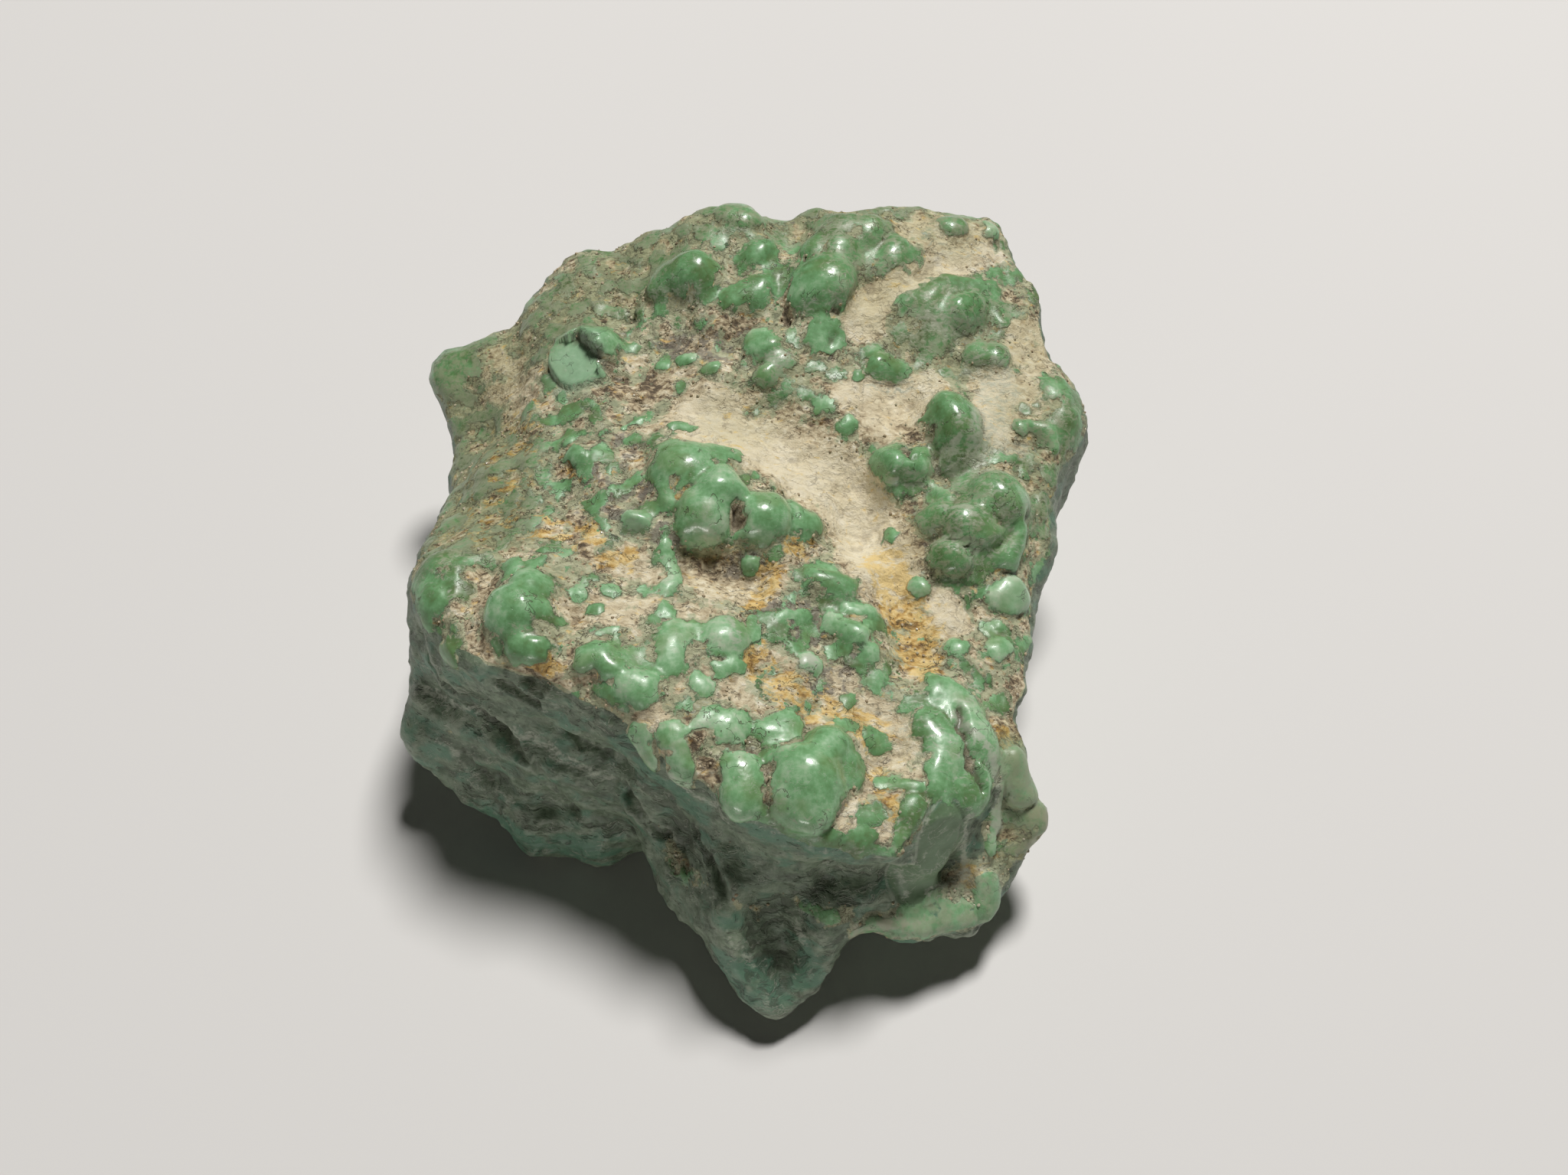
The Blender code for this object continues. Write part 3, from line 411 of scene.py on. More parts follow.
cube = gridded_cube()
corners = np.array([corner.co for corner in cube.verts])
directions = grid_directions(corners)
chunks = [skin(directions[start:start + CHUNK]) for start in range(0, len(directions), CHUNK)]
bare = np.concatenate([chunk[0] for chunk in chunks])
outward = np.concatenate([chunk[1] for chunk in chunks])

height = 0.15 * ripple(bare, 5.0, seed=3)
for _, path, radius, rise in RELIEF:
    height += rise * (1 - ease(0, 1, distance_to(bare, path) / radius))

wavering = bare + WOBBLE * np.column_stack([ripple(bare, 3.5, seed) for seed in (8, 9, 10)])
wavering += 0.035 * np.column_stack([ripple(bare, 1.1, seed) for seed in (11, 12, 13)])
beads = np.zeros(len(bare))
nearest = np.full(len(bare), FAR)        # distance to the nearest bead, in its radii
bead_green = np.full(len(bare), -FAR)
tint = 0.42 + 0.1 * ripple(bare, 3.0, seed=21)
smear = 0.5 + 0.5 * ripple(bare, 1.0, seed=22)
shine = np.full(len(bare), 0.12)         # high beads are polished, low patches only waxy
for _, path, radius, rise, hue, clay in BEADS:
    reach = distance_to(wavering, path) / radius
    lifted = rise * dome(reach)
    on_top = lifted > beads
    beads = np.where(on_top, lifted, beads)
    share = 1 - ease(0.85, 1.15, reach)
    tint = tint + (hue - tint) * share * np.maximum(on_top, 0.3)
    shine = shine + (0.1 + 0.9 * ease(0.3, 1.0, rise) - shine) * share * on_top
    green = 0.5 + 1.2 * (0.96 - reach) - 0.9 * clay * smear
    bead_green = np.maximum(bead_green, np.where(on_top | (reach < 1), green, -FAR))
    nearest = np.minimum(nearest, reach)

# How strongly each finish shows round a path of surveyed points: path, radius, strength
CREAM = [
    ([(-2.8, 10.2), (-0.8, 8.5), (1.5, 8), (3.9, 6.9), (6.2, 5.9), (7.2, 3.5), (8.7, 0.5)], 3.0, 1.0),
    ([(7.3, 12.7), (10.1, 13.3), (9, 11)], 2.0, 0.8),
    ([(11.3, 11.2), (12.1, 13.7)], 1.4, 0.8),
    ([(7.4, 17.7), (8.9, 20), (11, 21), (14.3, 23.4)], 1.6, 0.9),
    ([(16.7, 13.4), (16.5, 10.7)], 1.8, 1.0),
    ([(16.6, 8.3), (19, 11.9)], 1.3, 0.6),
    ([(-6.7, -5.2), (-8.2, -6)], 1.6, 0.6),
    ([(12.3, -1.8), (13.2, -2.7)], 1.4, 0.9),
    ([(6.7, -14.5), (8.1, -11.9)], 1.3, 0.6),
    ([(6, -17), (7.6, -17.2)], 1.2, 0.8),
    ([(-5.3, -12), (-4.3, -13.1)], 1.3, 0.6),
    ([(-17.6, 18.3), (-16.2, 15.5)], 2.8, 0.5),
    ([(12, 25.5), (16, 25)], 2.2, 0.7),
    ([(19.5, 14), (19, 18)], 2.2, 0.7),
    ([(-10, -5.5), (-5.7, -5.5), (-2, -4.3)], 1.8, 0.3),
    ([(-4.1, -9.4), (-0.5, -9.9), (3.1, -8.3)], 1.6, 0.35),
    ([(6, -9), (9.6, -10.5), (10, -13)], 1.7, 0.55),
    ([(-7.3, -1.5), (-3.5, -2.5), (1.2, -2.5)], 1.8, 0.35),
]
BROWN = [
    ([(-10.5, 13.4), (-8.5, 13.2), (-6.4, 13.2)], 1.7, 0.9),
    ([(-2.9, -1.2), (-1.3, -2.2)], 2.0, 0.5),
    ([(-3.4, -13.3, 17.1), (-2.5, -14.1, 16.2), (-1.9, -15.1, 15.5)], 0.9, 0.9),
    ([(8.2, 20.3)], 1.8, 0.9),
    ([(3.5, 9.5), (5.5, 7.2), (6.8, 6.2)], 1.3, 0.45),
    ([(8, 10.9), (9.3, 10.4), (10.5, 9.2)], 1.7, 0.8),
    ([(-11.9, -9.6), (-9.5, -10.2)], 1.3, 0.7),
    ([(10.5, 1), (10.8, 3.5)], 1.4, 0.7),
    ([(15.6, -10.2)], 1.3, 0.9),
    ([(17.2, -6), (17, -8.5)], 1.6, 0.7),
    ([(-15.9, -3), (-15.8, -7.5)], 1.3, 0.5),
    ([(13.1, -16.9, 5.9)], 1.7, 1.0),
    ([(-3, 17.4), (1.5, 17.6)], 1.5, 0.6),
]
DARK = [
    ([(-6.5, 3.1), (-7.8, 3)], 2.0, 0.7),
    ([(-5.1, 0.2), (-4.2, -0.2)], 1.3, 0.7),
    ([(-1.2, -0.6), (-0.3, -1.3), (0.6, -1.0)], 1.0, 0.7),
    ([(3.2, -4.5), (4.1, -5.1)], 1.4, 0.8),
    ([(4.6, 7.7), (5.9, 7.3), (3.8, 5.1)], 2.0, 0.15),
    ([(-2.4, 15.5), (-4.8, 16.2)], 2.0, 0.6),
    ([(1.3, -4.1), (2.5, -5.4)], 1.4, 0.7),
    ([(-9, 5), (-8.5, 7.5)], 2.2, 0.5),
    ([(4.8, -8.5), (6.5, -7.6)], 1.4, 0.7),
    ([(0.6, -13.6), (1.6, -13.9)], 0.7, 0.5),
]
OCHRE = [
    ([(-14.6, 1.8), (-9.9, 0.3)], 1.4, 0.6),
    ([(-11.3, 6.8), (-10.2, 5.2)], 1.2, 0.5),
    ([(-8.5, -1.6), (-7.6, -1.2)], 1.2, 1.0),
    ([(1.2, -1.3), (1.6, -2.5), (0.6, -4.1)], 1.1, 0.9),
    ([(8.9, 0.5), (9.7, -1), (10, -2.7), (10.9, -4.3), (11.2, -5.9)], 1.9, 1.0),
    ([(-3.8, 3.2, 21.2), (-4.5, 3, 20.6)], 1.2, 0.9),
    ([(2.8, 0.1), (3.8, 0.6)], 1.0, 0.7),
    ([(0.2, -7.2), (1.3, -8.8), (3.7, -10.3), (7.6, -11.2)], 1.5, 0.9),
    ([(-11.9, -9.1), (-11.4, -9.3)], 1.0, 1.0),
    ([(15.7, -10.1), (16, -10.9)], 1.0, 1.0),
    ([(17.2, 4), (16.3, 1.7)], 1.1, 0.6),
    ([(8.3, -14.3), (9.1, -16.2)], 1.0, 0.8),
    ([(14, -16.7, 6.2)], 1.0, 1.0),
    ([(-15.5, 12.6), (-16, 5.1), (-17.1, 2.5)], 2.8, 0.45),
]
# Milky film, with one painted highlight among its lines
FILM_AND_HIGHLIGHT = [
    ([(15.3, 10.5), (14.9, 8)], 1.3, 0.7),
    ([(13.4, 2), (14.6, 3)], 0.9, 0.5),
    ([(2, 14.6)], 1.2, 0.8),
    ([(3.9, -7.6)], 1.0, 0.8),
    ([(-4.4, -15.7, 6.9), (-1.9, -19.3, 7.5), (-0.4, -21.2, 6.3), (0.5, -22.3, 4.6)], 0.35, 0.5),
    ([(3.1, -20.1, 6.8), (4, -21.3, 5.7)], 0.4, 0.7),
    ([(-1, -16.9, 14.6), (2.8, -18.2, 13.3), (6.4, -18.6, 12.4), (9.1, -18.4, 11.6)], 0.4, 0.35),
    ([(11.2, -16.4, 12.7), (9.7, -17.9, 11.1), (9.6, -18.3, 7.1)], 0.3, 0.5),
    ([(13.4, -15.5, 11.8), (13, -15.7, 6.4), (11.3, -18.6, 6.3)], 0.4, 0.7),
    ([(14.2, -11.3, 14.2), (15.2, -12.3, 13.2), (15.5, -13.2, 10.8), (15.4, -14.4, 8.4)], 0.45, 0.9),
    ([(-21.4, -4.9, 10.3), (-17.4, -7.4, 11), (-13, -9.6, 10.8), (-8.6, -11.6, 9.7)], 0.5, 0.6),
    ([(-20.1, -7.6, 8), (-17.3, -8.7, 6), (-14.9, -10.4, 5.6)], 0.5, 0.5),
    ([(-4, -14.9, 15.2), (-2.9, -15.2, 13), (-1.1, -16.6, 13)], 0.5, 0.6),
    ([(14, -7.5), (13, -10)], 0.8, 0.4),
    ([(9.5, -10), (13.5, -12.5)], 2.8, 0.3),
    ([(9, -16.5), (13, -14)], 1.8, 0.25),
    ([(16.7, 13.4), (16.5, 10.7)], 1.8, 0.5),
    # painted highlight: a thin wavy line of highlight down the front of the tall dome
    ([(13.4, 9.9), (13.8, 9.2), (13.3, 8.2)], 0.3, 1.0),
    ([(12.6, 3.6), (13.6, 3.1), (14.4, 3.4)], 0.3, 0.9),
    ([(-1.2, -5.6), (-0.6, -7.2)], 0.55, 0.6),
    ([(12.5, 1.9), (14.6, 1.2), (16.6, 2.4)], 0.9, 0.45),
    ([(9.6, 6.2), (10.9, 6.1)], 0.6, 0.5),
    ([(15.2, 4), (14.9, 5.6)], 0.5, 0.5),
    ([(12.9, 7.9), (13.9, 7.4)], 1.1, 0.6),
    ([(9.4, 6.2), (11.2, 6)], 0.9, 0.55),
    ([(16, 9), (17.8, 9.4)], 1.3, 0.55),
    ([(12.2, 18.4), (14.2, 17.9)], 1.4, 0.55),
    ([(8.6, 13.6), (10.6, 13.6)], 0.9, 0.5),
    ([(15.2, 14.9), (17.2, 14.8)], 1.1, 0.6),
    ([(13, 24.8), (17, 24.6)], 1.8, 0.35),
    ([(3.8, 18.2), (5.8, 18.9)], 0.8, 0.45),
    ([(-5.6, 19.8), (-3.4, 19.5)], 0.9, 0.45),
    ([(14, 6), (16.8, 6.6)], 1.0, 0.45),
    ([(14.4, 3.2), (15.9, 3.4)], 0.7, 0.45),
]
SMUDGE_AND_SHADE = [
    # The first two lay painted shade over the spur and the hollow in it; the rest are stains on the wall
    ([(2, -19.2, 6.4), (1.9, -20, 5.1), (1.7, -21.5, 4.6)], 2.6, 0.75),
    ([(0, -20, 5), (1.6, -22.8, 3.8), (3.4, -21, 5)], 4.0, 0.45),
    ([(-16, -10, 4), (-8, -12.5, 4)], 3.5, 0.4),
    ([(-18.4, -7.3, 13), (-16.5, -7.9, 10.6)], 1.6, 0.8),
    ([(-5.5, -13.5, 11.5), (-4.1, -14.5, 8.4), (-2.4, -16.6, 8.9)], 1.6, 0.9),
    ([(-9.3, -11.2, 16.3), (-6.5, -12.9, 15.4)], 1.5, 0.6),
    ([(4, -18.4, 9.2), (6.8, -18.6, 8.7), (9.7, -17.9, 8.4)], 1.8, 0.55),
    ([(4.4, -18.6, 8.8), (7.4, -18.9, 8.1)], 1.4, 0.4),
]
LUSH = [
    ([(13.4, -14.9, 12.6)], 2.4, 1.0),
    ([(8.2, -17.9, 12.8), (6.7, -18.3, 12.9)], 1.6, 0.5),
    ([(11.5, -18.9, 6), (15, -18.3, 4.7)], 1.6, 0.5),
    ([(-0.6, -21.5, 4.5), (1.6, -22.8, 3.8), (3.6, -21.5, 4.3)], 1.8, 1.0),
    ([(-6.6, -13.1, 14.2), (-4.8, -14.3, 13.3), (-3, -15.2, 11.4)], 1.6, 0.8),
    ([(0.2, -17.7, 14.7), (3.7, -18.5, 13.2), (6.6, -18.7, 11.9)], 1.4, 0.8),
    ([(-16.9, -10, 2.7), (-14.2, -12, 2.7), (-10.8, -12.6, 2.4)], 1.8, 0.9),
    ([(-21.3, -7.7, 6.5)], 2.0, 0.8),
    ([(12.8, -10.5), (14, -12.5, 13)], 2.6, 0.6),
    ([(-20.5, 20.5, 14)], 3.0, 0.55),
    ([(-19, -3)], 3.0, 0.35),
    ([(7, 23.6)], 4.0, 0.25),
    ([(14, 19.4)], 3.5, 0.2),
    ([(15, 3)], 4.0, 0.45),
    ([(21, 12)], 3.0, 0.25),
    ([(-9, -5), (-3, -7), (2, -8)], 5.0, 0.07),
    ([(6, -9), (10, -12)], 4.0, 0.06),
]
MATTE = [
    ([(-11.6, 15)], 2.6, 1.0),
    ([(-6.8, 1)], 1.3, 0.5),
    ([(17, -0.5)], 1.4, 0.6),
    ([(16.5, -11.7, 11.1), (17.1, -12.8, 9.3)], 2.2, 0.7),
    ([(6.9, -19.6, 5.8), (10.2, -19.3, 5.3), (13.5, -18.5, 4.8), (15, -16.7, 5.8)], 2.0, 0.3),
]
ROCK = [
    ([(-2, -18, 6), (0, -21, 5), (1.6, -22.8, 3.8)], 3.4, 1.0),
    ([(2.5, -19.5, 6), (3.5, -21.5, 5)], 2.6, 1.0),
    ([(-3, -15.5, 9), (1, -18.2, 9)], 2.4, 1.0),
    ([(-20.5, -5.5, 12), (-21.3, -7.7, 6.5)], 2.4, 1.0),
    ([(4, -18.4, 9.2), (9.7, -17.9, 8.4)], 2.0, 0.8),
    ([(11.8, -16.5, 11), (10.8, -17.8, 8)], 2.6, 1.0),
    ([(6.9, -19.6, 5.8), (10.2, -19.3, 5.3), (13.5, -18.5, 4.8)], 1.6, 0.62),
    ([(16.5, -11.7, 11.1), (18.1, -13.2, 7.7)], 2.2, 0.3),
]
CRUST = [
    ([(6.9, -19.6, 5.8), (9.2, -19.4, 5.5)], 1.5, 1.0),
    ([(10.5, -19.3, 5.3), (13.5, -18.5, 4.8), (15, -16.7, 5.8)], 1.7, 0.6),
    ([(17.4, -12.9, 7.2), (17.6, -13.6, 6.2)], 2.0, 0.9),
    ([(16.4, -11.4, 11.1), (17.1, -12.6, 9.3)], 1.9, 0.5),
    ([(13.1, -16.9, 5.9), (14, -16.7, 6.2)], 1.6, 0.8),
]
PANE = [([(11.9, -16.3, 11.2), (10.7, -17.9, 7.8)], 2.2, 1.0)]
# Dust on the slopes and the back; the stone's material also darkens these zones with painted shade, most on
# the left slope, which faces away from the lamp
DUST_AND_SHADE = [
    ([(-19, 14), (-17, 8), (-17.5, 2)], 5.0, 0.75),
    ([(-20, 19), (-14, 20), (-7, 24)], 4.5, 0.7),
    ([(-4, 26), (4, 27), (14, 26)], 3.5, 0.6),
    ([(8, 22), (13, 17), (18, 18)], 4.5, 0.45),
    ([(19, 12), (19.5, 6)], 3.5, 0.5),
    ([(-1, 10), (3, 14)], 3.0, 0.3),
    ([(13, 2), (15, 8)], 3.5, 0.4),
    ([(17, -11), (18, -14, 7)], 3.0, 0.8),
]


def spread(zones):
    """The strongest of the zones at each point of the skin, fading out at its edge."""
    strength = np.zeros(len(bare))
    for path, radius, peak in zones:
        reach = distance_to(wavering, path) / radius
        strength = np.maximum(strength, peak * (1 - ease(0.45, 1.15, reach)))
    return strength


cream, brown, dark, ochre = spread(CREAM), spread(BROWN), spread(DARK), spread(OCHRE)
film_and_highlight, smudge_and_shade, lush, matte = spread(FILM_AND_HIGHLIGHT), spread(SMUDGE_AND_SHADE), spread(LUSH), spread(MATTE)
rock_zone, crust, dust_and_shade, pane = spread(ROCK), spread(CRUST), spread(DUST_AND_SHADE), spread(PANE)

# Cracks, pits and gouges: name, path of points, half width, depth
CRACKS = [
    ("between the twins", [(-0.8, 1.8), (-0.5, 1.0)], 0.4, 0.7),
    ("down the tall dome", [(12.4, 9.8, 20.1), (12.6, 8.4, 19.2)], 0.3, 0.5),
    ("across the split bead", [(-11.4, 16.9), (-9.9, 15.2, 20.3), (-8.6, 14)], 0.5, 0.45),
    ("eye", [(5.7, 18.4)], 0.45, 0.4),
    ("under the eye dome", [(2.7, 19.4), (2.5, 18.2), (2.8, 17.4)], 0.3, 0.4),
    ("ring bead's dimple", [(5.5, 16.2)], 0.5, 0.35),
    ("brown groove", [(-2.9, -14), (-1.3, -15.7)], 0.4, 0.3),
    ("beside the finger", [(1.3, -15.0), (1.3, -16.2), (1.3, -17.3, 14.6)], 0.3, 0.4),
    ("over the finger", [(-1.6, -13.6), (0.9, -13.8)], 0.25, 0.25),
    ("between the ridges", [(12.9, -9.7), (12.9, -10.9), (13.3, -13), (13.8, -13.8)], 0.4, 0.45),
    ("front wall, low", [(-3.1, -15.2, 9.6), (-1, -16.9, 8.3)], 0.4, 0.3),
    ("front wall, left", [(-4.9, -14.6, 7.8), (-3.4, -15.6, 7.2)], 0.35, 0.3),
    ("recess", [(-12.3, -9.8, 16.8)], 1.0, 0.5),
    ("first gouge", [(-17.1, -7.6, 11.4), (-15.3, -8.6, 10.8), (-13.5, -9.8, 9.6)], 0.45, 0.4),
    ("second gouge", [(-14.7, -9.3, 16.4), (-12.5, -10.2, 15.3)], 0.4, 0.45),
    ("third gouge", [(-20.2, -5.8, 14), (-18.1, -7.6, 13)], 0.4, 0.4),
    ("fourth gouge", [(-18.6, -8.3, 7.4), (-16.6, -9.2, 6), (-16, -10.4, 3.9)], 0.35, 0.3),
    ("fifth gouge", [(-10.9, -10, 12.1), (-8.2, -11.2, 11.2)], 0.4, 0.3),
    ("sixth gouge", [(-13.6, -10.6, 9.5), (-10.6, -11.5, 5.6)], 0.4, 0.25),
    ("seventh gouge", [(-7.4, -12.2, 9.6), (-5.2, -13.7, 7.6)], 0.4, 0.3),
]
crack = np.zeros(len(bare))
torn = bare + 0.09 * np.column_stack([ripple(bare, 0.9, seed) for seed in (51, 52, 53)])
for _, path, half_width, depth in CRACKS:
    reach = distance_to(torn, path) / half_width
    crack = np.maximum(crack, depth * np.maximum(1 - reach ** 2, 0) ** 0.7)

on_bead = 1 - ease(0.7, 1.2, nearest)
wall = np.maximum((1 - ease(0.32, 0.62, outward[:, 2])) * (1 - on_bead), rock_zone) * (1 - 0.8 * crust)
chance_green = 0.15 * ripple(bare, 1.9, seed=31) + 0.05 * ripple(bare, 0.9, seed=32)
green = 0.42 + chance_green + 0.25 * height + 0.10 * dust_and_shade + 0.6 * lush
green -= 0.45 * cream + 0.35 * brown + 0.12 * ochre + 0.12 * crust
green = np.maximum(green, bead_green) - 1.2 * crack
ring = np.exp(-((nearest - 1.12) / 0.12) ** 2)
film_and_highlight = np.maximum(film_and_highlight, 0.35 * ring * (0.5 + 0.5 * ripple(bare, 1.4, seed=33)))

# Polished patches stand a little proud of the clay, and the clay and the wall are rough.
# The wall broke in shallow steps that run down to the right.
raised = ease(0.40, 0.60, green) * (1 - 0.6 * wall)
rough = 0.055 * ripple(bare, 2.1, seed=41) + 0.035 * ripple(bare, 1.0, seed=42)
rough += 0.02 * ripple(bare, 0.55, seed=43)
slanted = bare @ np.array([[0.55, 0.0, 0.55], [0.0, 1.0, 0.0], [-1.1, 0.0, 1.1]])
torn_wall = 0.03 - 0.035 * np.abs(ripple(slanted, 3.4, seed=45)) + 0.015 * ripple(slanted, 1.2, seed=46)
torn_wall -= 0.018 * np.abs(ripple(slanted, 1.3, seed=47))
height = height + beads + 0.06 * raised + rough * (1 - 0.75 * on_bead) * (1 - 0.4 * raised) * (1 - pane)
height += torn_wall * wall * (1 - pane) - crack
points = bare + outward * height[:, None]

# Chipped faces: name, point on the skin, way the face looks, height over the skin, reach
CHIPS = [
    ("split face", (-11.9, 14.9), (-0.30, -0.25, 0.92), 0.70, 2.6),
    ("wedge face", (-6.8, 1.0), (-0.15, -0.85, 0.50), 0.25, 1.2),
    ("blade face", (11.3, -17, 9.4), (0.45, -0.80, 0.25), 0.25, 3.6),
]
for _, point, way, lift, radius in CHIPS:
    middle, face = place(point), unit(np.array(way))
    proud = (points - middle) @ face - lift
    cut = np.maximum(proud, 0) * (distance_to(points, [point]) < radius)
    points = points - cut[:, None] * face
points[:, 2] = np.maximum(points[:, 2], 0)

# From the survey's millimetres to the node's own box, and never outside it
SURVEY_LOW, SURVEY_HIGH = np.array([-23.35, -24.14, 0.0]), np.array([23.36, 30.05, 24.41])
node_low, node_high = (np.array(corner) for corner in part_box("turquoise_nugget"))
fitted = node_low + (points - SURVEY_LOW) / (SURVEY_HIGH - SURVEY_LOW) * (node_high - node_low)
fitted = np.clip(fitted, node_low, node_high)

first_index = cube.verts.layers.int.new("first_index")
for index, (corner, point) in enumerate(zip(cube.verts, fitted)):
    corner.co = point
    corner[first_index] = index
FLAT = 0.0001 * MM                       # the foot is flat to within this
foot = [face for face in cube.faces if max(corner.co.z for corner in face.verts) < FLAT]
sole = bmesh.ops.dissolve_faces(cube, faces=foot, use_verts=False)["region"]
bmesh.ops.triangulate(cube, faces=sole)
bmesh.ops.recalc_face_normals(cube, faces=cube.faces[:])
body = bpy.data.meshes.new("nugget")
cube.to_mesh(body)
cube.free()
order = np.empty(len(body.vertices), np.int32)
body.attributes["first_index"].data.foreach_get("value", order)
body.attributes.remove(body.attributes["first_index"])

# How far each corner stands above its neighbours (ridges over a half, hollows under it)
joins = np.array([(edge.vertices[0], edge.vertices[1]) for edge in body.edges])
rest_of = points[order]
away = unit(rest_of[joins[:, 0]] - rest_of[joins[:, 1]])
facing = np.array([corner.normal for corner in body.vertices])
stand = np.zeros(len(order))
np.add.at(stand, joins[:, 0], np.sum(away * facing[joins[:, 0]], axis=1))
np.add.at(stand, joins[:, 1], -np.sum(away * facing[joins[:, 1]], axis=1))
count = np.bincount(joins.ravel(), minlength=len(order))
stand /= count
SMOOTHINGS = 2
for _ in range(SMOOTHINGS):
    total = np.zeros(len(order))
    np.add.at(total, joins[:, 0], stand[joins[:, 1]])
    np.add.at(total, joins[:, 1], stand[joins[:, 0]])
    stand = 0.5 * stand + 0.5 * total / count
standing_out = np.zeros(len(points))
standing_out[order] = np.clip(0.5 + 2.5 * stand, 0, 1)

FIELDS = {
    "green": green, "tint": tint, "cream": cream, "brown": brown, "dark": dark, "ochre": ochre,
    "film_and_highlight": film_and_highlight, "smudge_and_shade": smudge_and_shade, "matte": matte, "wall": wall, "dust_and_shade": dust_and_shade, "crust": crust,
    "bead": on_bead, "pane": pane, "shine": shine,
    "hollow": ease(0.05, 0.5, crack), "ridge": standing_out,
    "grit": ease(0.50, 0.36, green) * (1 - wall) * (1 - cream),
}
for name, values in FIELDS.items():
    data = body.attributes.new(name, "FLOAT", "POINT").data
    data.foreach_set("value", values[order].astype(np.float32))
body.shade_smooth()
nugget = bpy.data.objects.new("nugget", body)
bpy.context.scene.collection.objects.link(nugget)

# Sandy clay: dried silt and fine sand that fills the hollows between the beads.  It is mottled
# from dark brown to cream, with short dark strokes, chalky green and stains of ochre.


class Wash:
    """A number, colour or place that changes over the surface, with sums and products."""

    def __init__(self, socket):
        self.socket, self.tree = socket, socket.id_data

    def feed(self, socket):
        self.tree.links.new(self.socket, socket)

    def __add__(self, other):
        return reckon("ADD", self, other)

    def __mul__(self, other):
        return reckon("MULTIPLY", self, other)

    def __sub__(self, other):
        return reckon("SUBTRACT", self, other)

    def __rsub__(self, other):
        return reckon("SUBTRACT", other, self)

    def __abs__(self):
        return reckon("ABSOLUTE", self, 0.0)

    __radd__, __rmul__ = __add__, __mul__


def add(tree, kind, inputs=(), **settings):
    """A node with its settings made, and its inputs set or linked."""
    made = tree.nodes.new(kind)
    for name, value in settings.items():
        setattr(made, name, value)
    for name, value in dict(inputs).items():
        if isinstance(value, Wash):
            value.feed(made.inputs[name])
        else:
            made.inputs[name].default_value = value
    return made


def wash(tree, kind, inputs=(), output=0, **settings):
    return Wash(add(tree, kind, inputs, **settings).outputs[output])


def reckon(operation, first, second):
    tree = (first if isinstance(first, Wash) else second).tree
    return wash(tree, "ShaderNodeMath", {0: first, 1: second}, operation=operation)


def either(first, second):
    """The larger of the two."""
    return reckon("MAXIMUM", first, second)


def step(value, low, high):
    """Nought at low, one at high, and smooth between."""
    return wash(value.tree, "ShaderNodeMapRange", {"Value": value, "From Min": low, "From Max": high},
                interpolation_type="SMOOTHSTEP")


def blend(share, first, second):
    """Numbers mixed, with share of the second."""
    return wash(share.tree, "ShaderNodeMix", {"Factor": share, 2: first, 3: second})


def opaque(colour):
    return colour if isinstance(colour, Wash) else (*colour, 1)


def layered(colour, *layers, how="MIX"):
    """A colour with each layer, a share and its own colour, laid over the ones before it."""
    for share, over in layers:
        colour = wash(share.tree, "ShaderNodeMix", {"Factor": share, 6: opaque(colour), 7: opaque(over)},
                      2, data_type="RGBA", blend_type=how)
    return colour


def ramp(value, stops):
    """Colours along a value: each stop is a value and its colour."""
    made = add(value.tree, "ShaderNodeValToRGB", {"Fac": value})
    elements = made.color_ramp.elements
    for element, (spot, shade) in zip(elements, (stops[0], stops[-1])):
        element.position, element.color = spot, opaque(shade)
    for spot, shade in stops[1:-1]:
        elements.new(spot).color = opaque(shade)
    return Wash(made.outputs["Color"])


def cloud(place, spacing, detail, shift=0):
    """Noise round nought, mostly within a fifth, with lumps about spacing millimetres apart."""
    moved = wash(place.tree, "ShaderNodeVectorMath", {0: place, 1: (shift, 0.7 * shift, -shift)})
    return wash(place.tree, "ShaderNodeTexNoise", {
        "Vector": moved, "Scale": 1 / spacing, "Detail": detail, "Roughness": 0.6}) - 0.5


def patches(place, spacing, detail, shift, low, high):
    return step(cloud(place, spacing, detail, shift), low, high)


def lines(place, spacing, detail, shift, edge, middle):
    """Thin lines along which the noise crosses nought."""
    return step(abs(cloud(place, spacing, detail, shift)), edge, middle)


def warped(place, spacing, amount, stretch=(1, 1, 1), turn=(0, 0, 0)):
    """A place pushed about by noise, then turned and stretched."""
    push = wash(place.tree, "ShaderNodeTexNoise", {"Vector": place, "Scale": 1 / spacing, "Detail": 2},
                "Color")
    push = wash(place.tree, "ShaderNodeVectorMath", {0: push, "Scale": 2 * amount}, operation="SCALE")
    pushed = wash(place.tree, "ShaderNodeVectorMath", {0: place, 1: push})
    return wash(place.tree, "ShaderNodeMapping", {"Vector": pushed, "Rotation": turn, "Scale": stretch})


def group(name, paint, inputs, outputs):
    """A shader group whose outputs are painted from its inputs."""
    tree = bpy.data.node_groups.new(name, "ShaderNodeTree")
    kinds = {"Place": "Vector", "Color": "Color"}
    for way, labels in (("INPUT", inputs), ("OUTPUT", outputs)):
        for label in labels:
            kind = kinds.get(label, "Float")
            tree.interface.new_socket(label, in_out=way, socket_type=f"NodeSocket{kind}")
    given, result = tree.nodes.new("NodeGroupInput").outputs, tree.nodes.new("NodeGroupOutput").inputs
    painted = paint(*(Wash(given[label]) for label in inputs))
    for label, made in zip(outputs, painted):
        made.feed(result[label])
    return tree


